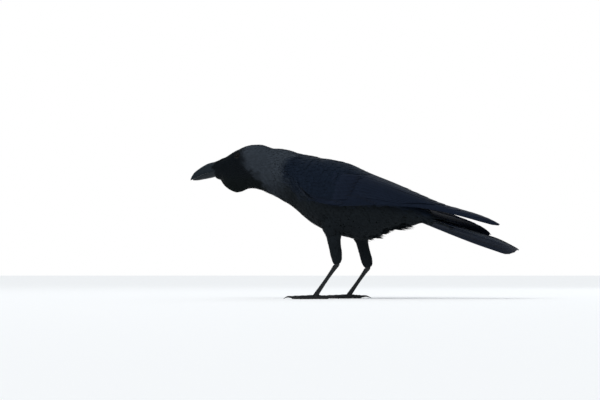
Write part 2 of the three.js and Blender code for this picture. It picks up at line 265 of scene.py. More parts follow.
# x, top, low, half, inner, thick of the left wing's sections, a little fuller at the tip than its solids
wingStations = np.array([
    (-84, 176, 151, 28.2, 24.5, 5),
    (-72, 175.5, 139, 34.6, 23, 8),
    (-60, 175.4, 122.6, 40, 21.5, 9),
    (-38, 172.8, 113.6, 42.6, 17.5, 9),
    (-8, 165.2, 111.8, 42.6, 8, 9),
    (20, 152.6, 112.8, 39, 2.2, 8),
    (50, 140.8, 111.6, 32, 1, 7),
    (80, 127.9, 109.4, 24.8, 1, 5),
    (104, 117.4, 105.4, 20.6, 1.4, 3.6),
    (128, 109.8, 100.0, 17.4, 3, 2.6),
    (152, 102.5, 93.4, 14.6, 5, 1.8),
    (174.6, 94.0, 87.4, 11.6, 8.0, 1.2),
    (178.6, 92.2, 86.2, 11.1, 8.1, 0.9),
])
wing = {
    "roundness": 2.3,
    "innerMost": 0.97,
    "droopStart": -20.0,  # the right wing hangs lower from here back
    "droop": 10.2,
    "droopGrowth": 1.2,
    "short": 7.9,
    "lowerFall": 1.9,  # how much further the lower edge of the right wing hangs at its tip
    "frontX": -84.0,
    "backX": 178.6,
    "droopEnd": 174.6,
    "lap": 5.0,  # how far the right wing slides under the left one over the rump
    "lapX": (6, 44, 112, 140),
}
sectionX = np.linspace(wing["frontX"], wing["backX"], 88)
sectionShare = np.linspace(0, 1, 49)


# Points of the wing at x and share, sunk under its outer surface by depth.
def wingByShare(side, x, share, depth):
    half = along(wingStations, 3, x) - depth
    low = along(wingStations, 2, x)
    rise = along(wingStations, 1, x) - low - depth
    inner = np.minimum(along(wingStations, 4, x) / half, wing["innerMost"])
    start = np.arcsin(inner ** (wing["roundness"] / 2))
    turn = start + (math.pi / 2 - start) * share
    y = half * np.sin(turn) ** (2 / wing["roundness"])
    z = low + rise * np.maximum(np.cos(turn), 0) ** (2 / wing["roundness"])
    behind = np.maximum((x - wing["droopStart"]) / (wing["droopEnd"] - wing["droopStart"]), 0)
    hang = behind ** wing["droopGrowth"] if side > 0 else 0 * behind
    if side > 0:
        y = y - wing["lap"] * np.interp(x, wing["lapX"], (0, 1, 1, 0)) * np.clip(1 - 2 * share, 0, 1)
    z = z - hang * (wing["droop"] + wing["lowerFall"] * share * behind)
    return np.stack([x - wing["short"] * hang, side * y, z], -1)


def measureSections():
    grid = np.meshgrid(sectionX, sectionShare, indexing="ij")
    points = wingByShare(-1, grid[0], grid[1], 0)
    steps = np.linalg.norm(np.diff(points, axis=1), axis=2)
    reach = np.concatenate([np.zeros((len(sectionX), 1)), np.cumsum(steps, axis=1)], axis=1)
    lengths = reach[:, -1]
    even = np.stack([np.interp(sectionShare, r / r[-1], sectionShare) for r in reach])
    return lengths, even


sectionLengths, evenShares = measureSections()


def wingGirth(x):
    return np.interp(x, sectionX, sectionLengths)


# The same surface with q measured evenly over the skin: 0 at the upper edge, 1 at the lower one.
def wingPoint(side, x, q, depth):
    column = np.clip(q, 0, 1) * (len(sectionShare) - 1)
    row = (np.clip(x, sectionX[0], sectionX[-1]) - sectionX[0]) / (sectionX[1] - sectionX[0])
    i = np.minimum(row.astype(int), len(sectionX) - 2)
    j = np.minimum(column.astype(int), len(sectionShare) - 2)
    a = row - i
    b = column - j
    share = (evenShares[i, j] * (1 - b) + evenShares[i, j + 1] * b) * (1 - a)
    share += (evenShares[i + 1, j] * (1 - b) + evenShares[i + 1, j + 1] * b) * a
    return wingByShare(side, x, share, depth)


# ---- skin ----

skinPlan = {
    "grow": 0.35,
    "voxel": 1.3,
    "rounds": 9,
    "padFront": -80.0,  # the padded fore part of a wing
    "padBack": 56.0,
    "padInset": 15.0,
    "cutX": -174.0,  # the skin ends inside the horn of the bill
    # depth of the coat over the skin, by x
    "depthX": (-172, -160, -150, -135, -115, -95, -75, -40, 20, 60, 94, 112, 135),
    "depth": (0.5, 0.7, 1.0, 1.5, 2.2, 2.8, 3.3, 3.5, 3.5, 3.2, 2.4, 1.3, 0.7),
    "shankDepthZ": (36, 50, 72, 84),
    "shankDepth": (0.9, 1.5, 2.2, 3.2),
    # loose feathers behind and before each shank, by height
    "shankBack": {
        -1: ((42, 0.4), (47, 2.1), (53, 1.8), (61, 1.2), (69, 1.2), (74, 1.9), (79, 2.8), (88, 2.8)),
        1: ((36, 0.0), (39, 1.0), (43, 2.4), (48, 2.2), (54, 0.8), (62, 0.6), (72, 1.1), (86, 1.3)),
    },
    "shankFore": {
        -1: ((42, 0.6), (50, 0.0), (62, 0.2), (70, 1.0), (86, 1.5)),
        1: ((36, 0.0), (39, 0.8), (44, 0.9), (50, 0.0)),
    },
    # how far the coat stands over its solids, above and below
    "swellUp": (
        (-172, 0.6), (-166, 0.9), (-160, 0.4), (-156, 0.0), (-147, 0.5), (-140, 0.5), (-134, 1.1),
        (-127, 1.0), (-119, 0.6), (-111, 1.1), (-99, 0.2), (-89, 1.1), (-78, 1.3), (-70, 0.2),
        (-62, 0.2), (-52, 1.0), (-46, 0.9), (-41, 0.1), (-35, 0.2), (-27, 0.8), (0, 0.8), (14, 0.6),
        (40, 0.4), (90, 0.2),
    ),
    "swellDown": (
        (-172, -0.8), (-167, -1.4), (-163.5, -3.0), (-160, -0.6), (-156, 0.8), (-138, 0.8),
        (-131, 0.3), (-124, 0.3), (-119, 0.5), (-112, 0.0), (-100, 0.1), (-92, 0.3), (-85, 0.8),
        (-78, 0.5), (-71, 0.2), (-61, 0.1), (-54, 0.6), (-43, 0.6), (-36, 0.0), (-14, -0.6),
        (-4, -0.6), (0, 0.2), (10, -0.2), (20, -0.8), (30, -1.4), (38, -1.4), (44, -0.3),
        (52, -0.3), (58, -2.6), (61, -2.4), (66, 0.4), (72, 1.4), (75, 0.8), (79, -1.2),
        (83, -1.6), (88, -1.0), (92, 0.0), (120, 0.0),
    ),
}
eyePlace = {"x": -141.4, "y": 9.4, "z": 171.9, "radius": 6.1, "gaze": (-0.22, 0.92, 0.30)}


# How far a place is from the nearer eye.
def eyeGap(spot):
    return math.dist((spot[0], abs(spot[1]), spot[2]), (eyePlace["x"], eyePlace["y"], eyePlace["z"]))


def coatDepth(spots, onLegs):
    if onLegs:
        return np.interp(spots[..., 2], skinPlan["shankDepthZ"], skinPlan["shankDepth"])
    return np.interp(spots[..., 0], skinPlan["depthX"], skinPlan["depth"])


def wingPad(side):
    xs = np.linspace(skinPlan["padFront"], skinPlan["padBack"], 40)
    shares = np.linspace(0, 0.97, 22)
    grid = np.meshgrid(xs, shares, indexing="ij")
    outer = wingByShare(side, grid[0], grid[1], 0)
    inner = outer.copy()
    inner[..., 1] = side * np.maximum(np.abs(inner[..., 1]) - skinPlan["padInset"], 0)
    inner[..., 2] -= 2
    top = outer[:, :1].copy()
    top[..., 1] = -2 * side
    rings = np.concatenate([top, outer, inner[:, ::-1]], axis=1)
    count = rings.shape[1]
    points = rings.reshape(-1, 3)
    ring = np.arange(count)
    start = np.arange(len(xs) - 1)[:, None] * count
    quads = np.stack([start + ring, start + np.roll(ring, -1), start + count + np.roll(ring, -1),
                      start + count + ring], -1).reshape(-1, 4)
    ends = np.stack([ring[::-1], (len(xs) - 1) * count + ring])
    pad = meshFrom("wingPad", points, [quads, ends])
    faceOutwards(pad)
    return pad


# Top, bottom, half width and level of the body along x, measured on the solids.
def measureBody():
    solid = surfaceTree(*(cadNodes[name].data for name in ("head", "neck", "trunk")))
    xs = np.arange(-168.0, 93.5, 2.5)
    rows = []
    for x in xs:
        top = solid.ray_cast(Vector((x, 0.01, 400)), Vector((0, 0, -1)))[0].z
        bottom = solid.ray_cast(Vector((x, 0.01, -50)), Vector((0, 0, 1)))[0].z
        widest = (0, (top + bottom) / 2)
        for z in np.linspace(bottom + 3, top - 3, 15):
            hit = solid.ray_cast(Vector((x, -200, z)), Vector((0, 1, 0)))[0]
            if hit is not None:
                widest = max(widest, (-hit.y, z))
        rows.append((top, bottom, widest[0], widest[1]))
    return xs, np.array(rows)


bodyX, bodyRows = measureBody()
_, bodyBottom, _, bodyLevel = bodyRows.T


# The named solids as one smooth body, sunk by the depth of the coat.
def buildFlesh(name, nodeNames):
    flesh = mergedCopy(name, nodeNames, skinPlan["grow"], [wingPad(-1), wingPad(1)])
    smoothCast(flesh, skinPlan["voxel"], skinPlan["rounds"])
    points = readPoints(flesh.data)
    below = points[:, 2] < np.interp(points[:, 0], bodyX, bodyBottom) + 2
    depth = coatDepth(points, False)
    depth = np.where(below, np.minimum(depth, coatDepth(points, True)), depth)
    normals = readNormals(flesh.data)
    above = readPairs(skinPlan["swellUp"], points[:, 0]) * np.maximum(normals[:, 2], 0)
    under = readPairs(skinPlan["swellDown"], points[:, 0]) * np.maximum(-normals[:, 2], 0)
    points += normals * (above + under - depth)[:, None]
    for side in (-1, 1):
        ours = below & (points[:, 1] * side > 0)
        back = readPairs(skinPlan["shankBack"][side], points[:, 2]) * np.maximum(normals[:, 0], 0)
        fore = readPairs(skinPlan["shankFore"][side], points[:, 2]) * np.minimum(normals[:, 0], 0)
        points[:, 0] += np.where(ours, back + fore, 0)
    writePoints(flesh.data, points)
    applyModifier(flesh, "SMOOTH", factor=0.5, iterations=3)
    return flesh


fleshNames = ["head", "neck", "trunk", "shank_left", "shank_right"]
fleshNames += ["bill_upper", "bill_lower", "eye_left", "eye_right"]
skin = buildFlesh("skin", fleshNames)
editWhole(skin, bpy.ops.mesh.bisect, plane_co=(skinPlan["cutX"] * mm, 0, 0), plane_no=(1, 0, 0),
          use_fill=True, clear_inner=True)
guide = buildFlesh("coatGuide", fleshNames + ["tail"])  # only leads the feathers, also over the tail's root
guideTree = surfaceTree(guide.data)
bpy.data.objects.remove(guide)
print("skin:", len(skin.data.polygons), "faces")


# ---- lie of the coat ----

# Places on the closed wings, with the way that feathers lie at each of them.
def buildWingPlaces():
    xs = np.arange(-84, 66, 4.0)
    qs = np.linspace(0, 1, 26)
    grid = np.stack(np.meshgrid(xs, qs, indexing="ij"), -1).reshape(-1, 2)
    trees = {}
    flows = {}
    for side in (-1, 1):
        points = wingPoint(side, grid[:, 0], grid[:, 1], 0)
        tree = KDTree(len(points))
        for k, point in enumerate(points):
            tree.insert(Vector(point), k)
        tree.balance()
        trees[side] = tree
        behind = wingPoint(side, grid[:, 0] + 3, grid[:, 1], 0)
        before = wingPoint(side, grid[:, 0] - 3, grid[:, 1], 0)
        flows[side] = [Vector(step).normalized() for step in behind - before]
    return grid, trees, flows


wingGrid, wingTrees, wingFlows = buildWingPlaces()

lie = {
    "slopeX": (-170, -165, -150, -135, -120, -100, -80, -40, 0, 50, 90),
    "slope": (0.30, 0.30, 0.15, 0.0, -0.12, -0.22, -0.30, -0.28, -0.22, -0.28, -0.33),
    "sagX": (-165, -150, -120, -80, -30, 30, 90),
    "sag": (0.10, 0.45, 0.30, 0.22, 0.30, 0.10, -0.05),  # extra fall of the lower side
    "lowerFade": 22,  # height over which the lower side's fall sets in
    "eyeClear": 5.6,
    "eyeReach": 16,
    "wingFront": -82,
    "wingReach": 8,  # how close to a wing its own lie begins to count
    "wingFrom": 0.35,
    "wingFade": 0.3,
    "shankX": (-50, 40),
    "legs": {
        -1: {"hip": (-28.5, -19, 96), "ankle": (-21.6, -18, 41.7)},
        1: {"hip": (3, 17, 96), "ankle": (17.2, 15.4, 37.8)},
    },
}


def onShank(spot):
    fore, hind = lie["shankX"]
    return spot[2] < np.interp(spot[0], bodyX, bodyBottom) - 1.0 and fore < spot[0] < hind


def heading(spot):
    x, y, z = spot
    if onShank(spot):
        leg = lie["legs"][1 if y > 0 else -1]
        return (Vector(leg["ankle"]) - Vector(leg["hip"])).normalized()
    level = np.interp(x, bodyX, bodyLevel)
    lower = min(max((level - z) / lie["lowerFade"], 0), 1)
    slope = np.interp(x, lie["slopeX"], lie["slope"]) - lower * np.interp(x, lie["sagX"], lie["sag"])
    ahead = Vector((1, 0, slope))
    if x > lie["wingFront"]:
        side = 1 if y > 0 else -1
        _, k, gap = wingTrees[side].find(Vector(spot))
        if gap < lie["wingReach"]:  # the lower half of a wing leads its own feathers
            share = ease((wingGrid[k][1] - lie["wingFrom"]) / lie["wingFade"])
            ahead = ahead.lerp(wingFlows[side][k], float(share))
    away = Vector((x - eyePlace["x"], 0, z - eyePlace["z"]))
    gap = away.length
    if gap < lie["eyeReach"]:
        away /= gap
        pull = (lie["eyeClear"] / max(gap, lie["eyeClear"])) ** 2
        ahead -= (away * (2 * ahead.dot(away)) - ahead) * pull
    return ahead.normalized()


# ---- laying one coat piece ----

stationCount = 6
shapes = {
    # places of the rows and columns of a vane's grid
    "small": {"rows": (0, 0.3, 0.55, 0.76, 0.9, 1), "columns": (-1, -0.5, 0, 0.5, 1)},
    "medium": {"rows": (0, 0.26, 0.48, 0.68, 0.84, 0.94, 1),
               "columns": (-1, -0.66, -0.33, 0, 0.33, 0.66, 1)},
    "large": {"rows": (0, 0.24, 0.44, 0.62, 0.77, 0.88, 0.95, 1),
              "columns": (-1, -0.78, -0.52, -0.26, 0, 0.26, 0.52, 0.78, 1)},
}


# Rows of (left, middle, right, normal) that follow the tree's surface from the root to the tip.
def layTrack(tree, root, ahead, length, half, follow=heading):
    step = length / (stationCount - 1)
    spot, normal = tree.find_nearest(root)[:2]
    track = []
    for i in range(stationCount):
        if i:
            spot, normal = tree.find_nearest(spot + ahead * step)[:2]
            ahead = ahead * 0.75 + follow(spot) * 0.25
        ahead = (ahead - normal * ahead.dot(normal)).normalized()
        side = normal.cross(ahead)
        sides = []
        for reach in (-half, half):
            place = tree.find_nearest(spot + side * reach)[0]
            if (place - spot).dot(normal) < -half * 0.5:  # a vane isn't folded over a sharp edge
                place = spot + side * reach - normal * half * 0.3
            sides.append(place)
        if (sides[0] - sides[1]).length < half:
            sides = [spot - side * half, spot + side * half]
        track.append((sides[0], spot, sides[1], normal))
    return track


# The track at any share of the length, on a smooth curve through its stations.
def readTrack(tracks, u):
    place = np.clip(u, 0, 1) * (stationCount - 1)
    i = np.minimum(place.astype(int), stationCount - 2)
    t = (place - i)[..., None, None]
    f = np.arange(len(tracks))[:, None, None]
    p0 = tracks[f, np.maximum(i - 1, 0)]
    p1 = tracks[f, i]
    p2 = tracks[f, i + 1]
    p3 = tracks[f, np.minimum(i + 2, stationCount - 1)]
    bend = (2 * p0 - 5 * p1 + 4 * p2 - p3) * t + (3 * (p1 - p2) + p3 - p0) * t * t
    return p1 + 0.5 * t * ((p2 - p0) + bend)


bakeMap = {
    "legZ": (38, 96),  # the legs' own axes, from ankle to hip
    "leftX": (-21.6, -28.5),
    "rightX": (17.2, 3),
    "legY": 17,
    "margin": 0.01,
    "span": 0.977,
    "patch": 0.003,  # size of one feather on the map
}


# Where a root lies on the skin unrolled round its own long axis.
def unrolled(roots, onLegs):
    if onLegs:
        axis = np.interp(roots[:, 2], bakeMap["legZ"], bakeMap["rightX"]) * (roots[:, 1] > 0)
        axis += np.interp(roots[:, 2], bakeMap["legZ"], bakeMap["leftX"]) * (roots[:, 1] < 0)
        angle = np.arctan2(np.abs(roots[:, 1]) - bakeMap["legY"], roots[:, 0] - axis)
        return np.stack([roots[:, 2], angle], 1)
    level = np.interp(roots[:, 0], bodyX, bodyLevel)
    return np.stack([roots[:, 0], np.arctan2(roots[:, 1], roots[:, 2] - level)], 1)


def bakePlaces(roots, onLegs, across, alongVane):
    flat = unrolled(roots, onLegs)
    low = flat.min(0)
    span = np.maximum(flat.max(0) - low, 1e-6)
    spots = bakeMap["margin"] + bakeMap["span"] * (flat - low) / span
    patch = np.stack([alongVane, across * 0.5 + 0.5], -1) * bakeMap["patch"]
    return spots[:, None, :] + patch


# Closed vanes from tracks, with a dictionary of sizes for each.
def vaneMesh(name, tracks, sizes, shape, rng, onLegs=False):
    rows = np.array(shapes[shape]["rows"])
    columns = np.array(shapes[shape]["columns"])
    n = len(rows)
    m = len(columns)
    count = len(tracks)
    get = {key: np.array([s[key] for s in sizes])[:, None, None] for key in sizes[0]}
    u = np.broadcast_to(rows[None, :, None], (count, n, m)).copy()
    t = np.broadcast_to(columns[None, None, :], (count, n, m)).copy()
    valley = (np.arange(m) % 2)[None, None, :]
    bite = (rng.random((count, 1, m)) * get["jag"] + valley * get["teeth"]) * rows[None, :, None] ** 5
    back = get["drop"] * np.abs(t) ** 2.4 * u ** 4
    reach = u - back - bite
    grown = get["root"] + (1 - get["root"]) * np.sin(np.minimum(u / 0.5, 1) * math.pi / 2)
    closing = 1 - (1 - get["tip"]) * np.clip((u - 0.5) / 0.5, 0, 1) ** 2
    across = t * grown * closing
    found = readTrack(tracks, reach)
    left, middle, right, normal = [found[..., k, :] for k in range(4)]
    normal = normal / np.linalg.norm(normal, axis=-1, keepdims=True)
    a = across[..., None]
    points = middle + (right - left) * 0.5 * a + ((right + left) * 0.5 - middle) * a * a
    depth = coatDepth(middle, onLegs)
    below = middle[..., 2] < np.interp(middle[..., 0], bodyX, bodyBottom) - 2
    depth = np.where(below, np.minimum(depth, coatDepth(middle, True)), depth)
    slope = get["high"] - get["low"]
    rise = depth * (get["low"] + slope * (reach - get["curl"] * ease((u - 0.75) / 0.25)))
    rise = rise + get["free"] * get["length"] * 0.16 * np.maximum(reach, 0) ** 3
    rise = rise - get["camber"] * get["half"] * across * across
    rise = rise + rng.normal(0, 0.012, (count, n, m)) * depth * (rows[None, :, None] > 0.5)
    points = points + normal * rise[..., None]
    centre = m // 2
    under = points[:, :, centre] - normal[:, :, centre] * get["thick"][:, :, 0][..., None]
    block = n * m + n
    vertices = np.concatenate([points.reshape(count, -1, 3), under], axis=1).reshape(-1, 3)

    i = np.arange(n - 1)[:, None]
    j = np.arange(m - 1)[None, :]
    top = np.stack([i * m + j, (i + 1) * m + j, (i + 1) * m + j + 1, i * m + j + 1], -1).reshape(-1, 4)
    i = np.arange(n - 1)
    b = n * m + i
    lower = np.concatenate([
        np.stack([i * m, b, b + 1, (i + 1) * m], -1),
        np.stack([b, i * m + m - 1, (i + 1) * m + m - 1, b + 1], -1),
    ])
    rootCap = np.array([list(range(m)) + [n * m]])
    tipCap = np.array([[n * m + n - 1] + [(n - 1) * m + k for k in range(m - 1, -1, -1)]])
    quads = np.concatenate([top, lower])
    caps = np.concatenate([rootCap, tipCap])
    offsets = np.arange(count)[:, None, None] * block
    made = meshFrom(name, vertices, [(quads[None] + offsets).reshape(-1, 4),
                                     (caps[None] + offsets).reshape(-1, m + 1)])

    shown = readTrack(tracks, np.full((count, 1, 1), 0.75))[:, 0, 0, 1]
    chance = rng.random(count)
    place = np.repeat(shown[:, None], block, axis=1).reshape(-1, 3) * mm
    alongAll = np.concatenate([reach.reshape(count, -1), np.broadcast_to(rows, (count, n))], axis=1)
    acrossAll = np.concatenate([across.reshape(count, -1), np.zeros((count, n))], axis=1)
    vane = np.stack([alongAll, acrossAll, np.repeat(chance[:, None], block, axis=1)], -1)
    addVector(made.data, "place", place)
    addVector(made.data, "vane", vane.reshape(-1, 3))
    addBakeMap(made.data, bakePlaces(tracks[:, 0, 1], onLegs, acrossAll, alongAll).reshape(-1, 2))
    return made


def addVector(mesh, name, values):
    made = mesh.attributes.new(name, "FLOAT_VECTOR", "POINT")
    made.data.foreach_set("vector", values.astype(np.float32).ravel())


def addBakeMap(mesh, places):
    corners = np.empty(len(mesh.loops), np.int32)
    mesh.loops.foreach_get("vertex_index", corners)
    layer = mesh.uv_layers.new(name="OFBake")
    layer.data.foreach_set("uv", places[corners].astype(np.float32).ravel())


# ---- coat zones ----

growth = {
    # feather length, width and spacing along the body
    "x": (-170, -160, -150, -136, -118, -98, -78, -50, 0, 60, 94),
    "length": (2.8, 3.3, 4.2, 6.2, 9.5, 12.5, 16, 19, 21, 24, 27),
    "width": (1.1, 1.3, 1.6, 2.2, 3.2, 4.5, 6.6, 8.4, 9.2, 9.4, 9),
    "spacing": (0.85, 0.88, 0.98, 1.25, 1.6, 2.0, 2.6, 3.1, 3.3, 3.4, 3.2),
    "thighZ": (40, 50, 70, 85),
    "thighLength": (4.5, 7, 11, 15),
    "thighWidth": (1.7, 2.5, 3.8, 5.2),
    "thighSpacing": (1.0, 1.35, 1.9, 2.4),
}
plain = {"free": 0.03, "jag": 0.05, "teeth": 0.0, "camber": 0.07, "tip": 0.5, "root": 0.5, "drop": 0.26,
         "low": 0.45, "high": 1.0, "curl": 0.06, "thick": 0.08, "turn": 0.07}
zones = {
    "face": {"scale": (1.2, 0.85, 0.84), "low": 0.5, "tip": 0.2, "teeth": 0.10, "jag": 0.12, "turn": 0.09},
    "crown": {"scale": (1.25, 0.88, 0.84), "low": 0.5, "tip": 0.24, "teeth": 0.10, "jag": 0.10, "turn": 0.08},
    "throat": {"scale": (1.6, 0.72, 0.9), "free": 0.42, "tip": 0.12, "jag": 0.18, "teeth": 0.14,
               "turn": 0.15},
    "neck": {"scale": (1.25, 0.88, 0.82), "jag": 0.10, "teeth": 0.11, "tip": 0.26, "turn": 0.08},
    "mantle": {"scale": (1.05, 1.2, 0.95), "jag": 0.04, "teeth": 0.02},
    "saddle": {"scale": (1.15, 0.95, 0.8), "jag": 0.04, "teeth": 0.02, "low": 0.6, "high": 0.95},
    "scapular": {"scale": (1.2, 1.45, 1.0), "jag": 0.03, "teeth": 0.015},
    "lesser": {"scale": (0.85, 1.1, 0.72), "jag": 0.03, "teeth": 0.015},
    "breast": {"scale": (1.2, 1.04, 0.66), "jag": 0.08, "teeth": 0.08, "tip": 0.3, "turn": 0.07, "low": 0.62},
    "belly": {"scale": (1.2, 1.08, 0.68), "free": 0.02, "jag": 0.10, "teeth": 0.09, "turn": 0.07, "tip": 0.28,
              "low": 0.62},
    "underTail": {"scale": (1.25, 0.9, 0.8), "free": 0.02, "jag": 0.15, "teeth": 0.15, "turn": 0.07,
                  "tip": 0.3, "high": 0.95},
    "rump": {"scale": (1.1, 1, 1), "jag": 0.06, "teeth": 0.05},
    "upperTail": {"scale": (1.5, 1.15, 1), "jag": 0.03, "teeth": 0.02, "turn": 0.04},
    "thigh": {"scale": (0.95, 0.85, 0.76), "free": 0.0, "jag": 0.14, "teeth": 0.12, "turn": 0.06, "tip": 0.3},
    "wisp": {"scale": (1, 1, 1), "free": 0.0, "jag": 0.3, "teeth": 0.1, "tip": 0.1, "low": 0.0, "high": 0.0,
             "camber": 0.2, "curl": 0.0, "thick": 0.1},
}
# how far forward the feathers of the face reach on the bill, by height
featherFront = {"z": (143, 148, 153, 157, 161, 165, 169),
                "x": (-166, -167, -166, -165, -168.5, -167, -162.5)}
# where the zones meet: places along x, heights over the body's level, and q on the wings
borders = {
    "eyeMargin": 0.2,
    "thighEnd": 40.5,  # height at which the feathers of the shanks end
    "faceBack": -136, "headBack": -112, "throatTop": -16, "neckBack": -78, "breastBack": -36,
    "saddleX": (2, 28), "saddleHalf": 7, "saddleLevel": 10,
    "rumpFront": 40, "rumpLevel": 2, "upperTailFront": 72, "wingsOver": 60,
    "mantleBack": 14, "mantleLevel": 12,
    "underTailFront": 62, "wingLap": 7, "wingLapFront": -30,
    "wingFront": -82, "wingGap": 6.5, "wingLower": 0.965, "lesserBack": -36,
    "scapularLower": 0.38, "scapularBack": 6, "scapularSlope": 50,
}


# how much smaller and closer the feathers are near an eye, by the distance from its centre
nearEye = {
    "reach": 13,
    "least": 0.42,
    "growth": 0.58,
    "from": 6.4,
    "over": 6.6,
    "closer": 0.75,
    "closerWithin": 9,
}


# Which zone a place on the skin belongs to, or None where no small feathers grow.
def zoneAt(spot):
    x, y, z = spot
    side = 1 if y > 0 else -1
    if x < np.interp(z, featherFront["z"], featherFront["x"]) + 0.8 * math.sin(z * 1.7 + y):
        return None
    if eyeGap(spot) < eyePlace["radius"] + borders["eyeMargin"]:
        return None
    if onShank(spot):
        return "thigh" if z > borders["thighEnd"] else None
    level = np.interp(x, bodyX, bodyLevel)
    fore, hind = borders["saddleX"]
    if fore < x < hind and abs(y) < borders["saddleHalf"] and z > level + borders["saddleLevel"]:
        return "saddle"
    if x > borders["rumpFront"] and z > level + borders["rumpLevel"]:
        if x < borders["wingsOver"] and wingTrees[side].find(Vector(spot))[2] < borders["wingGap"]:
            return None  # the closed wings lie over it
        return "upperTail" if x > borders["upperTailFront"] else "rump"
    if x > borders["wingFront"]:
        _, k, gap = wingTrees[side].find(Vector(spot))
        q = wingGrid[k][1]
        if gap < borders["wingGap"] and q < borders["wingLower"]:
            if q < borders["scapularLower"] and x < borders["scapularBack"] - borders["scapularSlope"] * q:
                return "scapular"
            return "lesser" if x < borders["lesserBack"] else None
    if x < borders["faceBack"]:
        return "face"
    if x < borders["headBack"]:
        return "throat" if z < level + borders["throatTop"] else "crown"
    if x < borders["neckBack"]:
        return "neck"
    if z > level:
        return "mantle" if x < borders["mantleBack"] and z > level + borders["mantleLevel"] else None
    if x > borders["underTailFront"]:
        return "underTail"
    wingLow = np.interp(x, wingStations[:, 0], wingStations[:, 2])
    if z > wingLow + borders["wingLap"] and x > borders["wingLapFront"]:
        return None
    return "breast" if x < borders["breastBack"] else "belly"


def sizeAt(spot, zone, rng):
    plan = {**plain, **zones[zone]}
    if zone == "thigh":
        length = np.interp(spot[2], growth["thighZ"], growth["thighLength"])
        width = np.interp(spot[2], growth["thighZ"], growth["thighWidth"])
    else:
        length = np.interp(spot[0], growth["x"], growth["length"])
        width = np.interp(spot[0], growth["x"], growth["width"])
    gap = eyeGap(spot)
    if gap < nearEye["reach"]:
        near = nearEye["least"] + nearEye["growth"] * ease((gap - nearEye["from"]) / nearEye["over"])
        length *= near
        width *= 0.5 + 0.5 * near
    made = {key: plan[key] for key in plain}
    made["length"] = length * plan["scale"][0] * rng.uniform(0.9, 1.1)
    made["half"] = width * plan["scale"][1] * rng.uniform(0.92, 1.08) / 2
    made["high"] = plan["high"] * rng.uniform(0.985, 1.015)
    return made


def spacingAt(spot, zone):
    if zone == "thigh":
        return np.interp(spot[2], growth["thighZ"], growth["thighSpacing"])
    spacing = np.interp(spot[0], growth["x"], growth["spacing"]) * zones[zone]["scale"][2]
    return spacing * (nearEye["closer"] if eyeGap(spot) < nearEye["closerWithin"] else 1)


# Roots spread over the skin, no two closer than the spacing there.
def scatterRoots(rng):
    mesh = skin.data
    mesh.calc_loop_triangles()
    corners = np.empty(len(mesh.loop_triangles) * 3, np.int32)
    mesh.loop_triangles.foreach_get("vertices", corners)
    corners = readPoints(mesh)[corners.reshape(-1, 3)]
    cross = np.cross(corners[:, 1] - corners[:, 0], corners[:, 2] - corners[:, 0])
    area = np.linalg.norm(cross, axis=1) / 2
    middle = corners.mean(1)
    spacing = np.interp(middle[:, 0], growth["x"], growth["spacing"])
    shankSpacing = np.interp(middle[:, 2], growth["thighZ"], growth["thighSpacing"])
    spacing = np.minimum(spacing, np.where(middle[:, 2] < 90, shankSpacing, 99))
    weight = area / spacing ** 2
    weight *= middle[:, 0] > -168
    picked = rng.choice(len(area), int(weight.sum() * 5), p=weight / weight.sum())
    a, b = rng.random((2, len(picked)))
    flip = a + b > 1
    a[flip] = 1 - a[flip]
    b[flip] = 1 - b[flip]
    c = corners[picked]
    spots = c[:, 0] + a[:, None] * (c[:, 1] - c[:, 0]) + b[:, None] * (c[:, 2] - c[:, 0])
    tree = KDTree(len(spots))
    for k, spot in enumerate(spots):
        tree.insert(spot, k)
    tree.balance()
    taken = np.zeros(len(spots), bool)
    roots = {name: [] for name in zones}
    for k, spot in enumerate(spots):
        if taken[k]:
            continue
        zone = zoneAt(spot)
        if zone is None:
            taken[k] = True
            continue
        for _, other, _ in tree.find_range(spot, spacingAt(spot, zone)):
            taken[other] = True
        roots[zone].append(spot)
    return roots


# Pieces of the coat: the zones that each holds, and the side of the body it stays on
coatPieces = {
    "faceFeathers": {"zones": ("face",), "shape": "small"},
    "crownFeathers": {"zones": ("crown",), "shape": "medium"},
    "throatFeathers": {"zones": ("throat",), "shape": "medium"},
    "neckFeathers": {"zones": ("neck",), "shape": "large"},
    "mantleFeathers": {"zones": ("mantle", "saddle"), "shape": "large"},
    "rumpFeathers": {"zones": ("rump", "upperTail"), "shape": "large"},
    "shoulderFeathersLeft": {"zones": ("scapular", "lesser"), "shape": "large", "side": -1},
    "shoulderFeathersRight": {"zones": ("scapular", "lesser"), "shape": "large", "side": 1},
    "breastFeathers": {"zones": ("breast",), "shape": "large"},
    "bellyFeathers": {"zones": ("belly",), "shape": "large"},
    "ventFeathers": {"zones": ("underTail", "wisp"), "shape": "large"},
    "thighFeathersLeft": {"zones": ("thigh",), "shape": "medium", "side": -1},
    "thighFeathersRight": {"zones": ("thigh",), "shape": "medium", "side": 1},
}
looseTufts = {
    "spread": 1.9,
    "stray": 0.09,
    "half": (0.5, 1.1),
    # root under the belly, number of strands, fall for each step back and length
    "tufts": (
        (6, -14, 14, -0.50, 12), (12, 6, 14, -0.46, 13), (18, -11, 16, -0.40, 14), (24, 4, 16, -0.36, 14),
        (29, -13, 18, -0.30, 14), (34, 7, 18, -0.12, 14), (38, -9, 20, -0.12, 14), (42, -12, 20, -0.14, 15),
        (45, -6, 26, -0.10, 28), (49, -8, 20, -0.13, 24), (50, 8, 14, -0.14, 14),
    ),
}


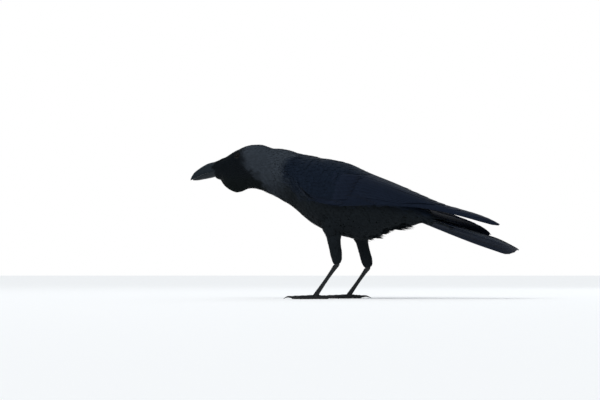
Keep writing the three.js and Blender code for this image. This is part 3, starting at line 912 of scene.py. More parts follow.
# Straight strands of the loose tufts that hang from the belly and in front of the tail.
def looseTracks(rng):
    tracks = []
    sizes = []
    for x, y, strands, fall, length in looseTufts["tufts"]:
        for _ in range(strands):
            dx, dy = rng.normal(0, looseTufts["spread"], 2)
            spot = skinTree.ray_cast(Vector((x + dx, y + dy, 60)), Vector((0, 0, 1)))[0]
            if spot is None:
                continue
            reach = length * rng.uniform(0.75, 1.1)
            half = rng.uniform(*looseTufts["half"])
            stray = rng.normal(0, looseTufts["stray"], 2)
            ahead = Vector((1, stray[0] - dy / length, fall + stray[1] * 0.35)).normalized()
            roll = rng.uniform(-1.3, 1.3)
            across = Vector((0, math.cos(roll), math.sin(roll))) * half
            facing = Vector((0, math.sin(roll), -math.cos(roll)))
            track = []
            for i in range(stationCount):
                share = i / (stationCount - 1)
                place = spot + ahead * (reach * share) + Vector((0, 0, 1.2 * share * share))
                track.append([tuple(v) for v in (place + across, place, place - across, facing)])
            tracks.append(track)
            made = {key: {**plain, **zones["wisp"]}[key] for key in plain}
            sizes.append({**made, "length": reach, "half": half})
    return tracks, sizes


def layCoat():
    rng = np.random.default_rng(11)
    roots = scatterRoots(rng)
    made = {}
    for name, piece in coatPieces.items():
        tracks, sizes = looseTracks(rng) if "wisp" in piece["zones"] else ([], [])
        for zone in piece["zones"]:
            for spot in roots[zone]:
                if piece.get("side", 0) * spot[1] < 0:
                    continue
                size = sizeAt(spot, zone, rng)
                normal = guideTree.find_nearest(Vector(spot))[1]
                ahead = Matrix.Rotation(rng.normal(0, size["turn"]), 3, normal) @ heading(spot)
                track = layTrack(guideTree, Vector(spot), ahead, size["length"], size["half"])
                if min(row[3].dot(track[0][3]) for row in track) < (0.5 if zone == "lesser" else -0.1):
                    continue  # it would fold round an edge
                tracks.append([[tuple(v) for v in row] for row in track])
                sizes.append(size)
        made[name] = vaneMesh(name, np.array(tracks), sizes, piece["shape"], rng,
                              onLegs=piece["zones"] == ("thigh",))
        print(name, len(tracks), "feathers,", len(made[name].data.polygons), "faces")
    return made


skinTree = surfaceTree(skin.data)
coat = layCoat()
print("coat laid")


# ---- flight feathers and greater coverts of the closed wings ----

wingSpread = {
    "layer": 0.34,  # how much lower a covered vane lies than the one over it
    "thick": 0.26,
    "rows": 26,
    "columns": 9,
    "shaftRise": 0.16,
    "softQ": 0.035,
    "softX": 9.0,
    "tuck": 2.0,  # how far the bases sink under the small feathers of the shoulder
    "rootTuck": 4.5,  # and how far every vane's root sinks into the body
    "rootLength": 15.0,
    "tipLift": 0.3,  # how far the tips of the inner feathers stand off
    "fullX": (-84, -40, -20, 0, 30, 60, 90, 115, 150, 178),
    # how far the wing stands over its sections
    "full": (0.1, 0.2, 0.7, 0.8, 0.5, 0.15, 0.0, 0.25, 0.8, 0.8),
    "shaftAt": 0.35,
    "shaftWidth": 0.10,
    "closing": 0.34,  # how much a vane narrows at its tip
    "closingSpan": 2.2,
    "ragged": 0.012,
    "coverBack": 30,  # the shoulder's small feathers lie over the wing up to here
    "coverBelow": -22.0,
    "coverFade": 16,
}
# Rows of vanes from the top of the stack down. In each row the values run from its first vane to its last
# one, and each lower edge runs from q0 at x0 to q1 at x1. The primaries' ends have a list of their own.
vaneRows = (
    {"kind": "median", "count": 9, "x0": (-62, -66), "x1": (-14, -32),
     "q0": (0.30, 0.92), "q1": (0.30, 0.93), "width": (13, 10), "tip": (4.5, 4)},
    {"kind": "greater", "count": 10, "x0": (-48, -56), "x1": (16, -6),
     "q0": (0.26, 0.88), "q1": (0.27, 0.90), "width": (15, 11), "tip": (5.5, 5)},
    {"kind": "alula", "count": 3, "x0": (-62, -58), "x1": (-30, -14),
     "q0": (0.93, 0.985), "q1": (0.95, 0.99), "width": (9, 7), "tip": (4, 4)},
    {"kind": "primaryCovert", "count": 7, "x0": (-46, -34), "x1": (4, 26),
     "q0": (0.87, 1.0), "q1": (0.885, 1.0), "width": (7, 5), "tip": (4, 4)},
    {"kind": "tertial", "count": 5, "x0": (-22, -22), "x1": (72, 112),
     "q0": (0.14, 0.46), "q1": (0.24, 0.62), "width": (18, 17), "tip": (8, 7)},
    {"kind": "secondary", "count": 6, "x0": (-24, -24), "x1": (98, 66),
     "q0": (0.50, 0.82), "q1": (0.84, 0.95), "width": (14, 12), "tip": (7, 6)},
    {"kind": "primary", "count": 10, "x0": (-26, -30), "x1": (0, 0),
     "q0": (0.84, 1.0), "q1": (0.55, 1.0), "width": (18, 16), "tip": (5, 3.5)},
)
# x1 and q1
primaryEnds = (
    (106, 0.62), (118, 0.66), (130, 0.70), (142, 0.76), (154, 0.82), (165, 0.88), (173, 0.95), (177, 1.0),
    (176, 1.0), (167, 1.0),
)


def wingVanes():
    vanes = []
    for plan in vaneRows:
        for k in range(plan["count"]):
            share = k / (plan["count"] - 1)
            vane = {"kind": plan["kind"]}
            for key in ("x0", "x1", "q0", "q1", "width", "tip"):
                first, last = plan[key]
                vane[key] = first + (last - first) * share
            vanes.append(vane)
    primaries = [vane for vane in vanes if vane["kind"] == "primary"]
    for vane, (x1, q1) in zip(primaries, primaryEnds):
        vane["x1"] = x1
        vane["q1"] = q1
    return vanes


def lowerEdge(vane, x):
    share = np.clip((x - vane["x0"]) / (vane["x1"] - vane["x0"]), 0, 1)
    return vane["q0"] + (vane["q1"] - vane["q0"]) * share ** 1.3


# How much of vane is over the place (x, q), from 0 to 1.
def covering(vane, x, q):
    edge = lowerEdge(vane, x)
    width = vane["width"] / wingGirth(x)
    soft = wingSpread["softQ"]
    below = ease((edge + soft - q) / soft)
    above = ease((q - (edge - width) + soft) / soft)
    ahead = ease((vane["x1"] + wingSpread["softX"] - x) / wingSpread["softX"])
    started = ease((x - vane["x0"]) / 10)
    return below * above * ahead * started


# Where the small feathers of the shoulder lie over the wing, from 0 to 1.
def shoulderCover(x, q):
    slanted = wingSpread["coverBack"] - borders["scapularSlope"] * q
    edge = np.where(q < borders["scapularLower"], slanted, wingSpread["coverBelow"])
    return ease((edge - x) / wingSpread["coverFade"])


# A grid over one vane: from 0 to 1 along it and from -1 to 1 across it, closer at the tip and the edges.
def vaneGrid(rows, columns):
    lengthwise = np.linspace(0, 1, rows) ** 0.85
    crosswise = np.sin(np.linspace(-1, 1, columns) * math.pi / 2)
    return np.meshgrid(lengthwise, crosswise, indexing="ij")


# The upper and lower points of one vane, which meet all along its rim.
def closedVane(top, under, uu, tt):
    rim = (np.abs(tt) > 0.999) | (uu > 0.999) | (uu < 0.001)
    under[rim] = top[rim]
    return np.concatenate([top.reshape(-1, 3), under.reshape(-1, 3)])


# One piece from the points of many flight feathers, with a strip of the bake map for each.
def flightPiece(name, allPoints, allVane, rows, columns, flip=False):
    count = len(allPoints)
    block = rows * columns
    i = np.arange(rows - 1)[:, None]
    j = np.arange(columns - 1)[None, :]
    quad = np.stack([i * columns + j, (i + 1) * columns + j,
                     (i + 1) * columns + j + 1, i * columns + j + 1], -1).reshape(-1, 4)
    if flip:
        quad = quad[:, ::-1]
    both = np.concatenate([quad, quad[:, ::-1] + block])
    offsets = np.arange(count)[:, None, None] * 2 * block
    made = meshFrom(name, np.concatenate(allPoints), [(both[None] + offsets).reshape(-1, 4)])
    vaneData = np.concatenate(allVane)
    addVector(made.data, "vane", vaneData)
    strip = np.repeat(np.arange(count), 2 * block)
    crosswise = vaneData[:, 1] * 0.5 + 0.5
    bake = np.stack([0.01 + 0.98 * vaneData[:, 0], (strip + 0.1 + 0.8 * crosswise) / count], 1)
    addBakeMap(made.data, bake)
    editWhole(made, bpy.ops.mesh.remove_doubles, threshold=0.002 * mm)
    return made


def buildWing(side, name, nodeNames, seed):
    rng = np.random.default_rng(seed)
    vanes = wingVanes()
    rows = wingSpread["rows"]
    columns = wingSpread["columns"]
    uu, tt = vaneGrid(rows, columns)
    allPoints = []
    allVane = []
    for order, vane in enumerate(vanes):
        length = vane["x1"] - vane["x0"]
        rounded = vane["tip"] / length
        x = vane["x0"] + length * (uu - rounded * np.abs(tt) ** 2.4 * uu ** 6)
        x = x - length * wingSpread["ragged"] * rng.random(x.shape) * (uu > 0.98)
        halfQ = 0.5 * np.minimum(vane["width"] / wingGirth(x), lowerEdge(vane, x) + 0.03)
        span = wingSpread["closingSpan"] * rounded
        closing = 1 - wingSpread["closing"] * np.clip((uu - 1 + span) / span, 0, 1) ** 2
        q = lowerEdge(vane, x) - halfQ + tt * halfQ * closing
        q = q + halfQ * (1 - closing) * 0.35
        covered = np.zeros_like(x)
        for other in vanes[:order]:
            covered += covering(other, x, q)
        depth = wingSpread["layer"] * covered + wingSpread["tuck"] * shoulderCover(x, q)
        depth = depth + 0.10 - np.interp(x, wingSpread["fullX"], wingSpread["full"])
        depth = depth + wingSpread["rootTuck"] * ease(1 - (x - vane["x0"]) / wingSpread["rootLength"])
        if vane["kind"] == "tertial":
            depth = depth - wingSpread["tipLift"] * ease((uu - 0.88) / 0.12)
        shaft = np.exp(-((tt - wingSpread["shaftAt"]) / wingSpread["shaftWidth"]) ** 2)
        depth = depth - wingSpread["shaftRise"] * shaft * (1 - uu)
        thickest = np.interp(x, wingStations[:, 0], wingStations[:, 5])
        depth = np.minimum(depth, thickest * 0.95)
        top = wingPoint(side, x, q, depth)
        under = wingPoint(side, x, q, depth + wingSpread["thick"])
        allPoints.append(closedVane(top, under, uu, tt))
        chance = rng.random()
        data = np.stack([uu, tt, np.full_like(uu, chance)], -1).reshape(-1, 3)
        allVane.append(np.concatenate([data, data]))
    made = flightPiece(name, allPoints, allVane, rows, columns, flip=side > 0)
    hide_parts(*nodeNames)
    return made


wingLeft = buildWing(-1, "wingFeathersLeft", ("wing_left", "primaries_left"), 21)
wingRight = buildWing(1, "wingFeathersRight", ("wing_right", "primaries_right"), 22)
print("wings:", len(wingLeft.data.polygons), "faces each")


# ---- tail ----

tail = {
    "root": (80, 0, 98.6),
    "pitch": 18.4,  # degrees below level
    "roll": 13.0,  # degrees, left edge up
    "length": 127.4,
    "halfRoot": 12.8,
    "halfEnd": 21.5,
    "arch": 7.4,
    "sag": 3.8,
    "sagLength": 34.0,
    "pairs": 6,
    "vaneWidth": 15.0,
    "outerShort": 5.0,
    "tipRound": 6.0,
    "tipFall": 1.6,  # how far the middle feathers bend down at their tips
    "bendFrom": 92,
    "bendOver": 26,
    "layer": 0.36,
    "thick": 0.16,
    "rows": 30,
    "columns": 9,
    "rightShort": 1.2,
    "ragged": 1.2,
    "spreadShort": 15,
    "top": 1.7,
    "shaftRise": 0.18,
    "shaftAt": 0.3,
    "shaftWidth": 0.1,
}


def tailPoint(u, y, lift):
    sag = tail["sag"] * np.maximum((u - tail["length"]) / tail["sagLength"] + 1, 0) ** 2
    z = tail["arch"] * (1 - (y / tail["halfEnd"]) ** 2) - tail["arch"] / 2 - sag + lift
    local = np.stack([u, y, z], -1).reshape(-1, 3)
    pitch = Matrix.Rotation(math.radians(tail["pitch"]), 3, "Y")
    roll = Matrix.Rotation(-math.radians(tail["roll"]), 3, "X")
    return (local @ np.array(pitch @ roll).T + np.array(tail["root"])).reshape(*u.shape, 3)


def buildTail():
    rng = np.random.default_rng(31)
    rows = tail["rows"]
    columns = tail["columns"]
    uu, tt = vaneGrid(rows, columns)
    allPoints = []
    allVane = []
    order = [(side, k) for k in range(tail["pairs"]) for side in (-1, 1)]
    for side, k in order:
        outward = k / (tail["pairs"] - 1)
        length = tail["length"] - tail["outerShort"] * outward ** 2 - tail["rightShort"] * (side > 0)
        rounded = tail["tipRound"] / length
        reach = length * (uu - rounded * np.abs(tt) ** 2.3 * uu ** 6)
        reach = reach - tail["ragged"] * rng.random(reach.shape) * (uu > 0.98)
        spread = np.sin(np.minimum(reach / (tail["length"] - tail["spreadShort"]), 1) * math.pi / 2)
        half = tail["halfRoot"] + (tail["halfEnd"] - tail["halfRoot"]) * spread
        vaneHalf = tail["vaneWidth"] / 2 * (0.55 + 0.45 * spread)
        middle = side * (half - vaneHalf) * (k + 0.35) / (tail["pairs"] - 0.65)
        y = np.clip(middle + tt * vaneHalf * (1 - 0.22 * uu ** 12), -half, half)
        lift = tail["top"] - tail["layer"] * (2 * k + (side > 0)) * (0.35 + 0.65 * (1 - uu))
        shaft = np.exp(-((tt - tail["shaftAt"] * side) / tail["shaftWidth"]) ** 2)
        lift = lift + tail["shaftRise"] * shaft * (1 - uu)
        bend = ease((reach - tail["bendFrom"]) / tail["bendOver"])
        lift = lift - tail["tipFall"] * bend * (1 - np.abs(y) / half)
        top = tailPoint(reach, y, lift)
        under = tailPoint(reach, y, lift - tail["thick"])
        allPoints.append(closedVane(top, under, uu, tt))
        data = np.stack([uu, tt * side, np.full_like(uu, rng.random())], -1).reshape(-1, 3)
        allVane.append(np.concatenate([data, data]))
    made = flightPiece("tailFeathers", allPoints, allVane, rows, columns)
    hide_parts("tail")
    return made


tailFeathers = buildTail()
print("tail:", len(tailFeathers.data.polygons), "faces")


# ---- bill ----

billForm = {
    # x, culmen, gonys, tomium, half
    "stations": np.array([
        (-200.0, 145.4, 144.1, 144.3, 0.4),
        (-198.6, 148.8, 144.2, 144.8, 1.1),
        (-195.6, 153.4, 144.3, 146.0, 2.2),
        (-190.3, 157.6, 144.6, 148.5, 3.5),
        (-184.5, 161.5, 145.6, 151.0, 4.8),
        (-178.5, 164.6, 146.7, 153.2, 5.8),
        (-171, 166.6, 148.4, 155.8, 7.1),
        (-160, 168.2, 152.2, 158.8, 8.2),
        (-149.5, 168.6, 155.6, 161, 8.4),
    ]),
    "rings": 72,
    "sides": 56,
    "roundness": 0.85,
    "mouth": 0.32,  # height of the slit between the halves
    "lowerFront": -196.8,
    "lowerInset": 0.35,
    "tipCrowding": 1.35,
    "tipRound": 0.02,  # share of the length over which a tip narrows to its end
    "lip": 0.035,
    "ridge": 0.28,
    "groove": 0.22,
    "grooveX": -176.0,
    "grooveLength": 9.0,
    "tipX": -198.0,  # ridge and lips set in behind here
}


# A closed tube of height 1 and radius 1 with many rings, ready to be shaped.
def ringedTube(name, rings, sides):
    bpy.ops.object.select_all(action="DESELECT")
    bpy.ops.mesh.primitive_cylinder_add(vertices=sides, radius=1, depth=1, location=(0, 0, 0))
    tube = bpy.context.active_object
    tube.name = name
    mesh = tube.data
    bpy.context.tool_settings.mesh_select_mode = (False, True, False)
    bpy.ops.object.mode_set(mode="EDIT")
    bpy.ops.mesh.select_all(action="DESELECT")
    bpy.ops.object.mode_set(mode="OBJECT")
    for edge in mesh.edges:
        a, b = [mesh.vertices[v].co.z for v in edge.vertices]
        edge.select = abs(a - b) > 0.5
    bpy.ops.object.mode_set(mode="EDIT")
    bpy.ops.mesh.subdivide(number_cuts=rings - 2)
    bpy.ops.object.mode_set(mode="OBJECT")
    bpy.context.tool_settings.mesh_select_mode = (True, False, False)
    return tube


# One half of the bill: an arc over the outside and a slightly hollow face along the mouth.
def buildBill(name, nodeName, upper):
    made = ringedTube(name, billForm["rings"], billForm["sides"])
    points = readPoints(made.data) * mm
    share = points[:, 2] + 0.5
    turn = np.arctan2(points[:, 1], points[:, 0])
    stations = billForm["stations"]
    front = stations[0, 0] if upper else billForm["lowerFront"]
    x = front + (stations[-1, 0] - front) * share ** billForm["tipCrowding"]
    taper = np.sqrt(np.clip(share / billForm["tipRound"], 0.02, 1))
    half = (along(stations, 4, x) - (0 if upper else billForm["lowerInset"])) * taper
    edge = along(stations, 3, x) + billForm["mouth"] * (0.5 if upper else -0.5)
    reach = (along(stations, 1 if upper else 2, x) - edge) * taper
    arc = np.maximum(np.sin(turn), 0)
    lip = 1 + billForm["lip"] * np.exp(-(arc / 0.2) ** 2) * ease((x - billForm["tipX"]) / 6)
    y = half * np.cos(turn) * lip
    fade = np.exp(-((x - billForm["grooveX"]) / billForm["grooveLength"]) ** 2)
    y -= np.sign(y) * billForm["groove"] * fade * np.exp(-((arc - 0.5) / 0.14) ** 2)
    z = edge + reach * arc ** billForm["roundness"]
    crest = np.exp(-(y / 1.1) ** 2) * (arc > 0.5) * ease((x - billForm["tipX"]) / 8)
    z += billForm["ridge"] * crest * (1 if upper else -0.6)
    hollow = np.maximum(-np.sin(turn), 0) * np.minimum(0.3, half * 0.1)
    z += hollow * (1 if upper else -1)
    writePoints(made.data, np.stack([x, y, z], 1))
    faceOutwards(made)
    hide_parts(nodeName)
    return made


billUpper = buildBill("upperBill", "bill_upper", True)
billLower = buildBill("lowerBill", "bill_lower", False)

bristlePlan = {
    # roots between these x and heights over the mouth, the way that they point, and how much longer the
    # middle ones are
    "nasal": {"count": 760, "x": (-167, -155), "rise": (0.8, 12), "ahead": (-0.97, 0, -0.22),
              "length": (3.6, 6.4), "half": (0.16, 0.28), "wedge": 0.9, "middle": 5.6},
    "rictal": {"count": 160, "x": (-166.5, -157), "rise": (-3.0, 1.2), "ahead": (-0.93, 0, -0.30),
               "length": (2.6, 5), "half": (0.16, 0.26), "wedge": 0.0, "middle": 0.0},
    "chin": {"count": 460, "x": (-168, -159), "rise": (-11, -1.0), "ahead": (-0.96, 0, 0.14),
             "length": (1.8, 3.4), "half": (0.2, 0.4), "wedge": 0.6, "middle": -7.0},
    "tuft": {"count": 44, "x": (-166.5, -162), "rise": (-12, -9), "ahead": (-0.62, 0, -0.78),
             "length": (2.2, 4.4), "half": (0.2, 0.34), "wedge": 0.0, "middle": 0.0},
    "shape": {"low": 0.9, "high": 1.75, "free": 0.06, "jag": 0.1, "tip": 0.08, "root": 0.7, "drop": 0.1,
              "camber": 0.1, "curl": 0.3, "thick": 0.12},
    "spread": 0.11,
}


# Stiff bristles that lie forward over the base of the bill.
def layBristles():
    rng = np.random.default_rng(14)
    billTree = surfaceTree(skin.data, billUpper.data, billLower.data)
    tracks = []
    sizes = []
    for kind in ("nasal", "rictal", "chin", "tuft"):
        plan = bristlePlan[kind]
        pointing = Vector(plan["ahead"]).normalized()
        for k in range(plan["count"]):
            x = rng.uniform(*plan["x"])
            mouth = along(billForm["stations"], 3, x)
            z = mouth + rng.uniform(*plan["rise"])
            level = min(max(z, along(billForm["stations"], 2, x)), along(billForm["stations"], 1, x))
            spread = 9 * max(1 - abs(z - level) / 5, 0)
            spot = skinTree.find_nearest(Vector((x, (1 if k % 2 else -1) * spread, z)))[0]
            normal = billTree.find_nearest(spot)[1]
            ahead = Matrix.Rotation(rng.normal(0, bristlePlan["spread"]), 3, normal) @ pointing
            swell = math.exp(-((z - mouth - plan["middle"]) / 2.6) ** 2)
            length = rng.uniform(*plan["length"]) * (1 + plan["wedge"] * swell)
            half = rng.uniform(*plan["half"])
            track = layTrack(billTree, spot, ahead, length, half, lambda place: pointing)
            tracks.append([[tuple(v) for v in row] for row in track])
            sizes.append({**plain, **bristlePlan["shape"], "length": length, "half": half})
    return vaneMesh("billBristles", np.array(tracks), sizes, "small", rng)


coat["billBristles"] = layBristles()


# ---- eyes ----

lidPlan = {
    "reach": 4.75,  # how far out along the gaze the rim of the lids lies
    "radius": 3.85,
    "thick": 0.42,
    "flatten": 0.95,
    "corner": 0.05,  # how far the corners are drawn out
    "lean": 0.18,  # how much further out the upper lid stands
    "grain": 0.05,
    "grains": 46,
    "over": 0.20,  # how far the bare skin round the eye lies over the ball
    "skinBack": 0.6,
}


# A rim and the bare skin round it, as one piece along +Z.
def buildLids(name):
    bpy.ops.object.select_all(action="DESELECT")
    radius = (eyePlace["radius"] + lidPlan["over"]) * mm
    bpy.ops.mesh.primitive_uv_sphere_add(segments=96, ring_count=64, radius=radius, location=(0, 0, 0))
    around = bpy.context.active_object
    for height, cut in ((lidPlan["reach"] + 0.1, "clear_outer"), (lidPlan["skinBack"], "clear_inner")):
        editWhole(around, bpy.ops.mesh.bisect, plane_co=(0, 0, height * mm), plane_no=(0, 0, 1),
                  **{cut: True})
    applyModifier(around, "SOLIDIFY", thickness=0.3 * mm, offset=-1)
    bpy.ops.object.select_all(action="DESELECT")
    bpy.ops.mesh.primitive_torus_add(major_segments=144, minor_segments=14, location=(0, 0, 0),
                                     major_radius=lidPlan["radius"] * mm, minor_radius=lidPlan["thick"] * mm)
    rim = bpy.context.active_object
    rim.name = name
    points = readPoints(rim.data)
    angle = np.arctan2(points[:, 1], points[:, 0])
    points[:, 0] *= 1 + lidPlan["corner"] * np.cos(angle) ** 8
    points[:, 1] *= lidPlan["flatten"]
    points[:, 2] += lidPlan["lean"] * np.sin(angle)
    grain = np.sin(angle * lidPlan["grains"]) * (0.6 + 0.4 * np.sin(angle * 7))
    points += readNormals(rim.data) * (lidPlan["grain"] * grain)[:, None]
    points[:, 2] += lidPlan["reach"]
    writePoints(rim.data, points)
    around.select_set(True)
    bpy.context.view_layer.objects.active = rim
    bpy.ops.object.join()
    return rim


# The middle of an eye, and the turn that takes +Z to its gaze.
def eyeFrame(side):
    centre = Vector((eyePlace["x"], side * eyePlace["y"], eyePlace["z"]))
    gaze = Vector(eyePlace["gaze"]).normalized()
    gaze.y *= side
    backward = Vector((1, 0, -0.1))
    across = (backward - gaze * gaze.dot(backward)).normalized()
    upward = gaze.cross(across)
    if upward.z < 0:
        across = -across
        upward = -upward
    return centre, Matrix((across, upward, gaze)).transposed()


def buildEye(side, name):
    centre, turn = eyeFrame(side)
    bpy.ops.object.select_all(action="DESELECT")
    bpy.ops.mesh.primitive_uv_sphere_add(segments=64, ring_count=40, radius=eyePlace["radius"] * mm,
                                         location=(0, 0, 0))
    ball = bpy.context.active_object
    ball.name = f"eye{name}"
    lids = buildLids(f"eyelids{name}")
    for made in (ball, lids):
        made.data.transform(Matrix.Translation(centre * mm) @ turn.to_4x4())
        onlySelect(made)
        bpy.ops.object.shade_smooth()
    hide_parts(f"eye_{name.lower()}")
    return ball, lids


eyeLeft, lidsLeft = buildEye(-1, "Left")
eyeRight, lidsRight = buildEye(1, "Right")

eyeRings = {
    "angles": (44, 49, 54, 59, 64, 69, 74),  # of the rings of roots, away from the gaze
    "spacing": 0.62,
    "length": (1.4, 2.1),
    "half": (0.32, 0.44),
    "sweep": 0.5,
    "shape": {"low": 0.05, "high": 0.42, "free": 0.0, "jag": 0.1, "teeth": 0.05, "tip": 0.3, "root": 0.6,
              "drop": 0.3, "camber": 0.05, "curl": 0.04, "thick": 0.05},
}


# The smallest feathers of all, in rings over the bare skin round the eyes.
def layEyeRings():
    rng = np.random.default_rng(17)
    radius = eyePlace["radius"] + lidPlan["over"]
    tracks = []
    sizes = []
    for side, lids in ((-1, lidsLeft), (1, lidsRight)):
        tree = surfaceTree(skin.data, lids.data)
        centre, turn = eyeFrame(side)
        for angle in eyeRings["angles"]:
            away = math.radians(angle)
            count = round(2 * math.pi * radius * math.sin(away) / eyeRings["spacing"])
            for k in range(count):
                around = 2 * math.pi * (k + rng.uniform(0, 0.7)) / count
                facing = turn @ Vector((math.sin(away) * math.cos(around), math.sin(away) * math.sin(around),
                                        math.cos(away)))
                spot = centre + facing * radius
                near, normal = skinTree.find_nearest(spot)[:2]
                if (spot - near).dot(normal) < -0.1:
                    continue
                outward = (facing * math.cos(away) - turn.col[2]).normalized()
                length = rng.uniform(*eyeRings["length"])
                half = rng.uniform(*eyeRings["half"])
                ahead = outward + heading(spot) * eyeRings["sweep"]
                track = layTrack(tree, spot, ahead.normalized(), length, half)
                tracks.append([[tuple(v) for v in row] for row in track])
                sizes.append({**plain, **eyeRings["shape"], "length": length, "half": half})
    print("eye rings:", len(tracks), "feathers")
    return vaneMesh("eyeFeathers", np.array(tracks), sizes, "small", rng)


coat["eyeFeathers"] = layEyeRings()
print("bill and eyes ready")


# ---- bare legs, toes and claws ----

legPlan = {
    "left": {"ankle": (-21.6, -18, 41.7), "foot": (-47.2, -24.4, 4.6), "turn": 4, "mirror": 1},
    "right": {"ankle": (17.2, 15.4, 37.8), "foot": (-5.2, 34, 4.6), "turn": -6, "mirror": -1},
    "toes": {
        # angle in degrees, length and joints of each toe
        "inner_toe": {"angle": -27, "length": 21, "joints": 2},
        "middle_toe": {"angle": 0, "length": 29, "joints": 3},
        "outer_toe": {"angle": 25, "length": 23, "joints": 4},
        "hind_toe": {"angle": 176, "length": 15.5, "joints": 1},
    },
    "toeHeight": 2.2,
    "voxel": 0.3,
    "rounds": 4,
    "ankleKnuckle": 3.3,
    "footKnuckle": 3.5,
    "shinPlate": 2.9,  # length of the plates down the shin
    "toePlate": 1.75,
    "relief": 0.26,
    "pad": 0.30,
    "grain": 0.05,
    "clawRoot": 1.0,  # how far a claw's root reaches back into its toe
}


def knuckle(place, radius):
    bpy.ops.object.select_all(action="DESELECT")
    bpy.ops.mesh.primitive_ico_sphere_add(subdivisions=3, radius=radius * mm, location=(0, 0, 0))
    ball = bpy.context.active_object
    ball.data.transform(Matrix.Translation(Vector(place) * mm))
    return ball


def toeDirection(leg, toe):
    angle = math.radians(toe["angle"] + leg["turn"]) * leg["mirror"]
    return np.array((-math.cos(angle), -math.sin(angle), 0.0))


# Overlapping plates on the shin and on top of the toes, with pads and grains below.
def addScales(foot, leg):
    points = readPoints(foot.data)
    normals = readNormals(foot.data)
    joint = np.array(leg["foot"])
    ankle = np.array(leg["ankle"])
    bones = [(ankle, joint, legPlan["shinPlate"], 0)]
    for toe in legPlan["toes"].values():
        start = np.array((joint[0], joint[1], legPlan["toeHeight"]))
        end = start + toeDirection(leg, toe) * toe["length"]
        bones.append((start, end, legPlan["toePlate"], toe["joints"]))
    nearest = np.full(len(points), np.inf)
    move = np.zeros(len(points))
    for start, end, plate, joints in bones:
        length = np.linalg.norm(end - start)
        ahead = (end - start) / length
        t = (points - start) @ ahead
        off = np.linalg.norm(points - start - np.clip(t, 0, length)[:, None] * ahead, axis=1)
        mine = off < nearest
        nearest = np.where(mine, off, nearest)
        up = np.array((-1.0, 0, 0)) if joints == 0 else np.array((0, 0, 1.0))
        up = up - ahead * (up @ ahead)
        up /= np.linalg.norm(up)
        facing = normals @ up
        rise = (t / plate) % 1
        plateEdge = rise ** 0.6 * ease((1 - rise) / 0.12) - 0.5
        plates = legPlan["relief"] * plateEdge * ease((facing + 0.05) / 0.4)
        side = np.cross(ahead, up)
        bead = np.sin(t * 5.2) * np.sin(points @ side * 5.2 + points @ up * 3.1)
        grains = legPlan["grain"] * bead * ease((0.2 - facing) / 0.4)
        swell = np.cos(math.pi * t / length * (joints + 0.5)) ** 2 if joints else 0
        pads = legPlan["pad"] * swell * ease((0.3 - facing) / 0.8)
        move = np.where(mine, plates + grains + pads, move)
    points += normals * move[:, None]
    points[:, 2] = np.maximum(points[:, 2], 0)
    writePoints(foot.data, points)


def buildFoot(side):
    leg = legPlan[side]
    names = [f"tarsus_{side}"] + [f"{toe}_{side}" for toe in legPlan["toes"]]
    joint = leg["foot"]
    extras = [knuckle(leg["ankle"], legPlan["ankleKnuckle"]),
              knuckle((joint[0], joint[1], legPlan["footKnuckle"] + 0.1), legPlan["footKnuckle"])]
    for toe in legPlan["toes"].values():  # the toes' roots meet under the knuckle
        ahead = toeDirection(leg, toe)
        for reach in (2.4, 4.0):
            place = np.array((joint[0], joint[1], legPlan["toeHeight"] + 0.2)) + ahead * reach
            extras.append(knuckle(place, legPlan["toeHeight"] + 0.1))
    foot = mergedCopy(f"leg{side.capitalize()}", names, 0.15, extras)
    smoothCast(foot, legPlan["voxel"], legPlan["rounds"])
    addScales(foot, leg)
    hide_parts(*names)
    claws = []
    for name, toe in legPlan["toes"].items():
        clawName = f"{name.replace('_t', 'T')}Claw{side.capitalize()}"
        claw = mergedCopy(clawName, [f"{name}_claw_{side}"], 0.06)
        ahead = toeDirection(leg, toe)
        points = readPoints(claw.data)
        t = points @ ahead
        back = legPlan["clawRoot"] * ease(1 - (t - t.min()) / 2.5)
        points -= ahead * back[:, None]
        writePoints(claw.data, points)
        smoothCast(claw, 0.24, 4)
        points = readPoints(claw.data)
        points[:, 2] = np.maximum(points[:, 2], 0)
        writePoints(claw.data, points)
        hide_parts(f"{name}_claw_{side}")
        claws.append(claw)
    return foot, claws


legLeft, clawsLeft = buildFoot("left")
legRight, clawsRight = buildFoot("right")
print("legs ready")


# ---- materials ----

def addNode(tree, kind, settings=None, inputs=None):
    made = tree.nodes.new("ShaderNode" + kind)
    for name, value in (settings or {}).items():
        setattr(made, name, value)
    for name, value in (inputs or {}).items():
        if isinstance(value, bpy.types.NodeSocket):
            tree.links.new(value, made.inputs[name])
        else:
            made.inputs[name].default_value = value
    return made


def maths(tree, operation, *values, clamp=False):
    made = addNode(tree, "Math", {"operation": operation, "use_clamp": clamp}, dict(enumerate(values)))
    return made.outputs[0]


def stepUp(tree, value, low, high):
    made = addNode(tree, "MapRange", {"interpolation_type": "SMOOTHSTEP"},
                   {"Value": value, "From Min": low, "From Max": high})
    return made.outputs["Result"]


# A measure that starts from base and grows with a value.
def growing(tree, base, value, gain):
    return maths(tree, "ADD", base, maths(tree, "MULTIPLY", value, gain))


def mixColour(tree, factor, first, second):
    made = addNode(tree, "Mix", {"data_type": "RGBA"})
    for socket, value in ((made.inputs[0], factor), (made.inputs[6], first), (made.inputs[7], second)):
        if isinstance(value, bpy.types.NodeSocket):
            tree.links.new(value, socket)
        elif isinstance(value, tuple):
            socket.default_value = (*value, 1)
        else:
            socket.default_value = value
    return made.outputs[2]


